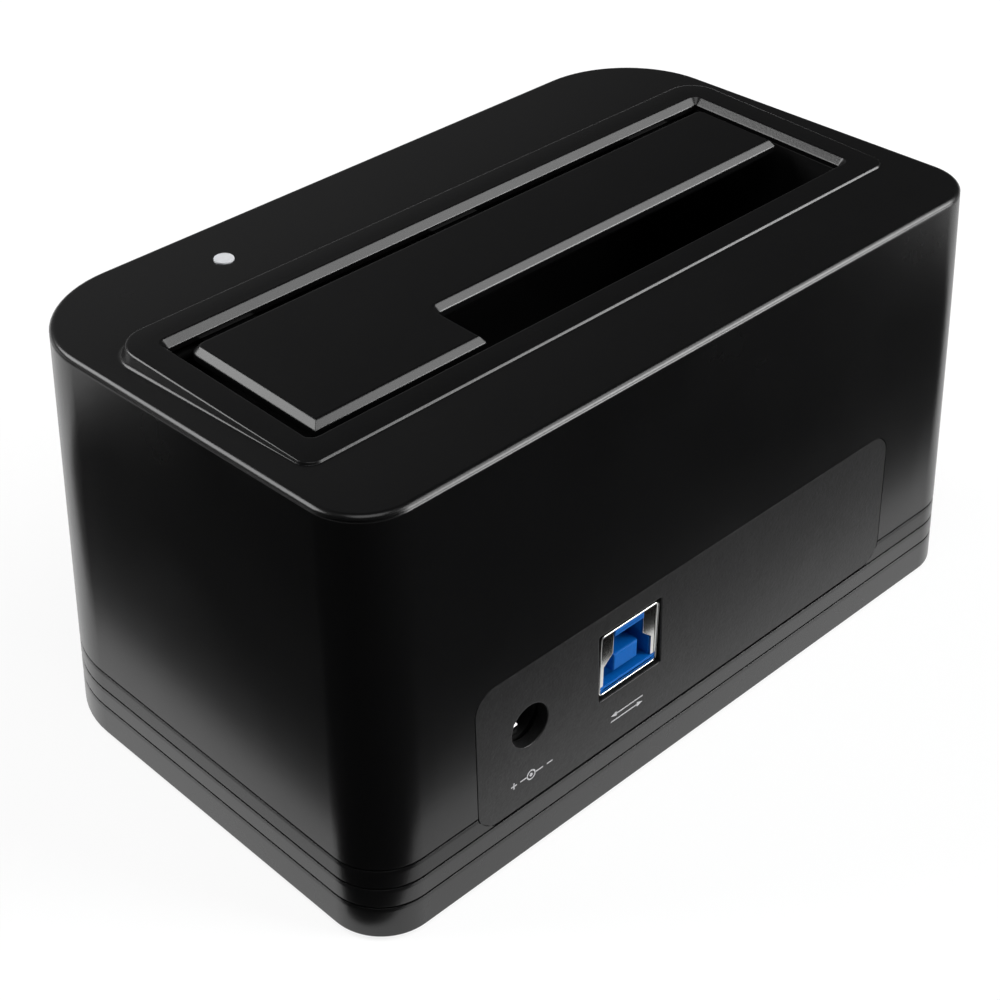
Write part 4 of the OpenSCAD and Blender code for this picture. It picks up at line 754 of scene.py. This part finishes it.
FOCAL_PX, PHOTO_PX, SENSOR = 2122.95, 1000, 36.0
camera_data = bpy.data.cameras.new("camera")
camera_data.sensor_width = SENSOR
camera_data.lens = FOCAL_PX / PHOTO_PX * SENSOR
camera_data.shift_x, camera_data.shift_y = -0.02, -0.07
camera_data.clip_start, camera_data.clip_end = 0.01, 20.0
camera = bpy.data.objects.new("camera", camera_data)
camera.matrix_world = look((0.18657, 0.185557, 0.21749), (-0.5841, -0.5787, -0.5691), 0.76)
bpy.context.scene.collection.objects.link(camera)
bpy.context.scene.camera = camera


# Floor, backdrop light and lamps
def stage_sheet(name, loop, material):
    """Flat sheet of the stage inside a closed loop of points."""
    points, faces = flat_fill(loop)
    mesh = bpy.data.meshes.new(name)
    mesh.from_pydata(points, [], faces.tolist())
    mesh.materials.append(material)
    sheet = bpy.data.objects.new(name, mesh)
    bpy.context.scene.collection.objects.link(sheet)
    return sheet


def floor_white():
    """White floor: it shows as plain white, also in reflections, less the object's soft shadow."""
    material = bpy.data.materials.new("floor_white")
    material.use_nodes = True
    tree = material.node_tree
    tree.nodes.remove(tree.nodes["Principled BSDF"])
    out = tree.nodes["Material Output"]
    path = tree.nodes.new("ShaderNodeLightPath")

    def paper(grey):
        """Matt surface of one grey."""
        node = tree.nodes.new("ShaderNodeBsdfDiffuse")
        node.inputs["Color"].default_value = (grey, grey, grey, 1)
        return node.outputs[0]

    def glow(strength):
        """Plain white light of a strength."""
        node = tree.nodes.new("ShaderNodeEmission")
        node.inputs["Strength"].default_value = strength
        return node.outputs[0]

    def join(kind, *sockets):
        """Shader node of a kind with its inputs linked in order."""
        node = tree.nodes.new(kind)
        for k, socket in enumerate(sockets):
            tree.links.new(socket, node.inputs[k])
        return node.outputs[0]

    mirrored = maths(tree, "MAXIMUM", path.outputs["Is Glossy Ray"], path.outputs["Is Transmission Ray"])
    plain = join("ShaderNodeMixShader", mirrored, paper(0.8), glow(1.0))
    seen = join("ShaderNodeAddShader", paper(0.2), glow(0.82))
    tree.links.new(join("ShaderNodeMixShader", path.outputs["Is Camera Ray"], plain, seen), out.inputs["Surface"])
    return material


SHEET_Z = 0.0002
stage_sheet("floor", lifted(np.array([(-3.0, -3.0), (3.0, -3.0), (3.0, 3.0), (-3.0, 3.0)]), -SHEET_Z), floor_white())


def dark_card():
    """Matt black card."""
    material = bpy.data.materials.new("dark_card")
    material.use_nodes = True
    shader = material.node_tree.nodes["Principled BSDF"]
    shader.inputs["Base Color"].default_value = (0.01, 0.01, 0.01, 1)
    shader.inputs["Roughness"].default_value = 1.0
    shader.inputs["Specular IOR Level"].default_value = 0.0
    return material


# Dark cards on the camera's side of the white table, which only the object's reflections see, as in the photograph
CARD_X, CARD_Y = 0.0775, 0.056
card = np.array([(CARD_X, -0.095), (0.7, -0.3), (0.7, 0.7), (-0.4, 0.7), (-0.15, CARD_Y), (0.05, CARD_Y),
                 (0.0585, 0.0465), (0.0635, 0.0378), (0.0666, 0.0313), (CARD_X, 0.0203)])
surround = stage_sheet("dark_cards", lifted(card, SHEET_Z), dark_card())
surround.visible_camera = surround.visible_diffuse = surround.visible_shadow = surround.visible_transmission = False


LAMP_AIM = (0, 0, 0.04)


def lamp(name, place, size, power):
    """Soft box: a rectangular lamp at a place, turned to the dock's middle."""
    data = bpy.data.lights.new(name, "AREA")
    data.shape = "RECTANGLE"
    data.size, data.size_y = size
    data.energy = power
    box = bpy.data.objects.new(name, data)
    box.matrix_world = look(place, np.asarray(LAMP_AIM, float) - np.asarray(place, float), 0.0)
    bpy.context.scene.collection.objects.link(box)


lamp("soft_box_left", (0.6, -0.85, 0.72), (0.9, 0.6), 12.0)
lamp("soft_box_right", (-0.78, 0.68, 0.8), (0.85, 0.8), 10.0)
lamp("soft_box_low", (-0.8, 1.0, 0.43), (0.8, 0.4), 13.0)
lamp("soft_box_top", (0.25, 0.3, 1.3), (0.8, 0.8), 5.0)


def studio_world():
    """Dim room that brightens towards a pale wall in front of the dock, on the -Y side, and a little towards -X."""
    world = bpy.data.worlds.new("studio")
    world.use_nodes = True
    tree = world.node_tree
    coords = tree.nodes.new("ShaderNodeTexCoord")
    split = tree.nodes.new("ShaderNodeSeparateXYZ")
    tree.links.new(coords.outputs["Generated"], split.inputs[0])
    wall = spread(tree, split.outputs["Y"], 0.032, 0.22, -0.58, -0.82)
    side = spread(tree, split.outputs["X"], 0.0, 0.02, -0.5, -0.75)
    background = tree.nodes["Background"]
    background.inputs["Color"].default_value = (1, 1, 1, 1)
    tree.links.new(maths(tree, "ADD", wall, side), background.inputs["Strength"])
    return world


bpy.context.scene.world = studio_world()
bpy.context.scene.view_settings.view_transform = "Standard"
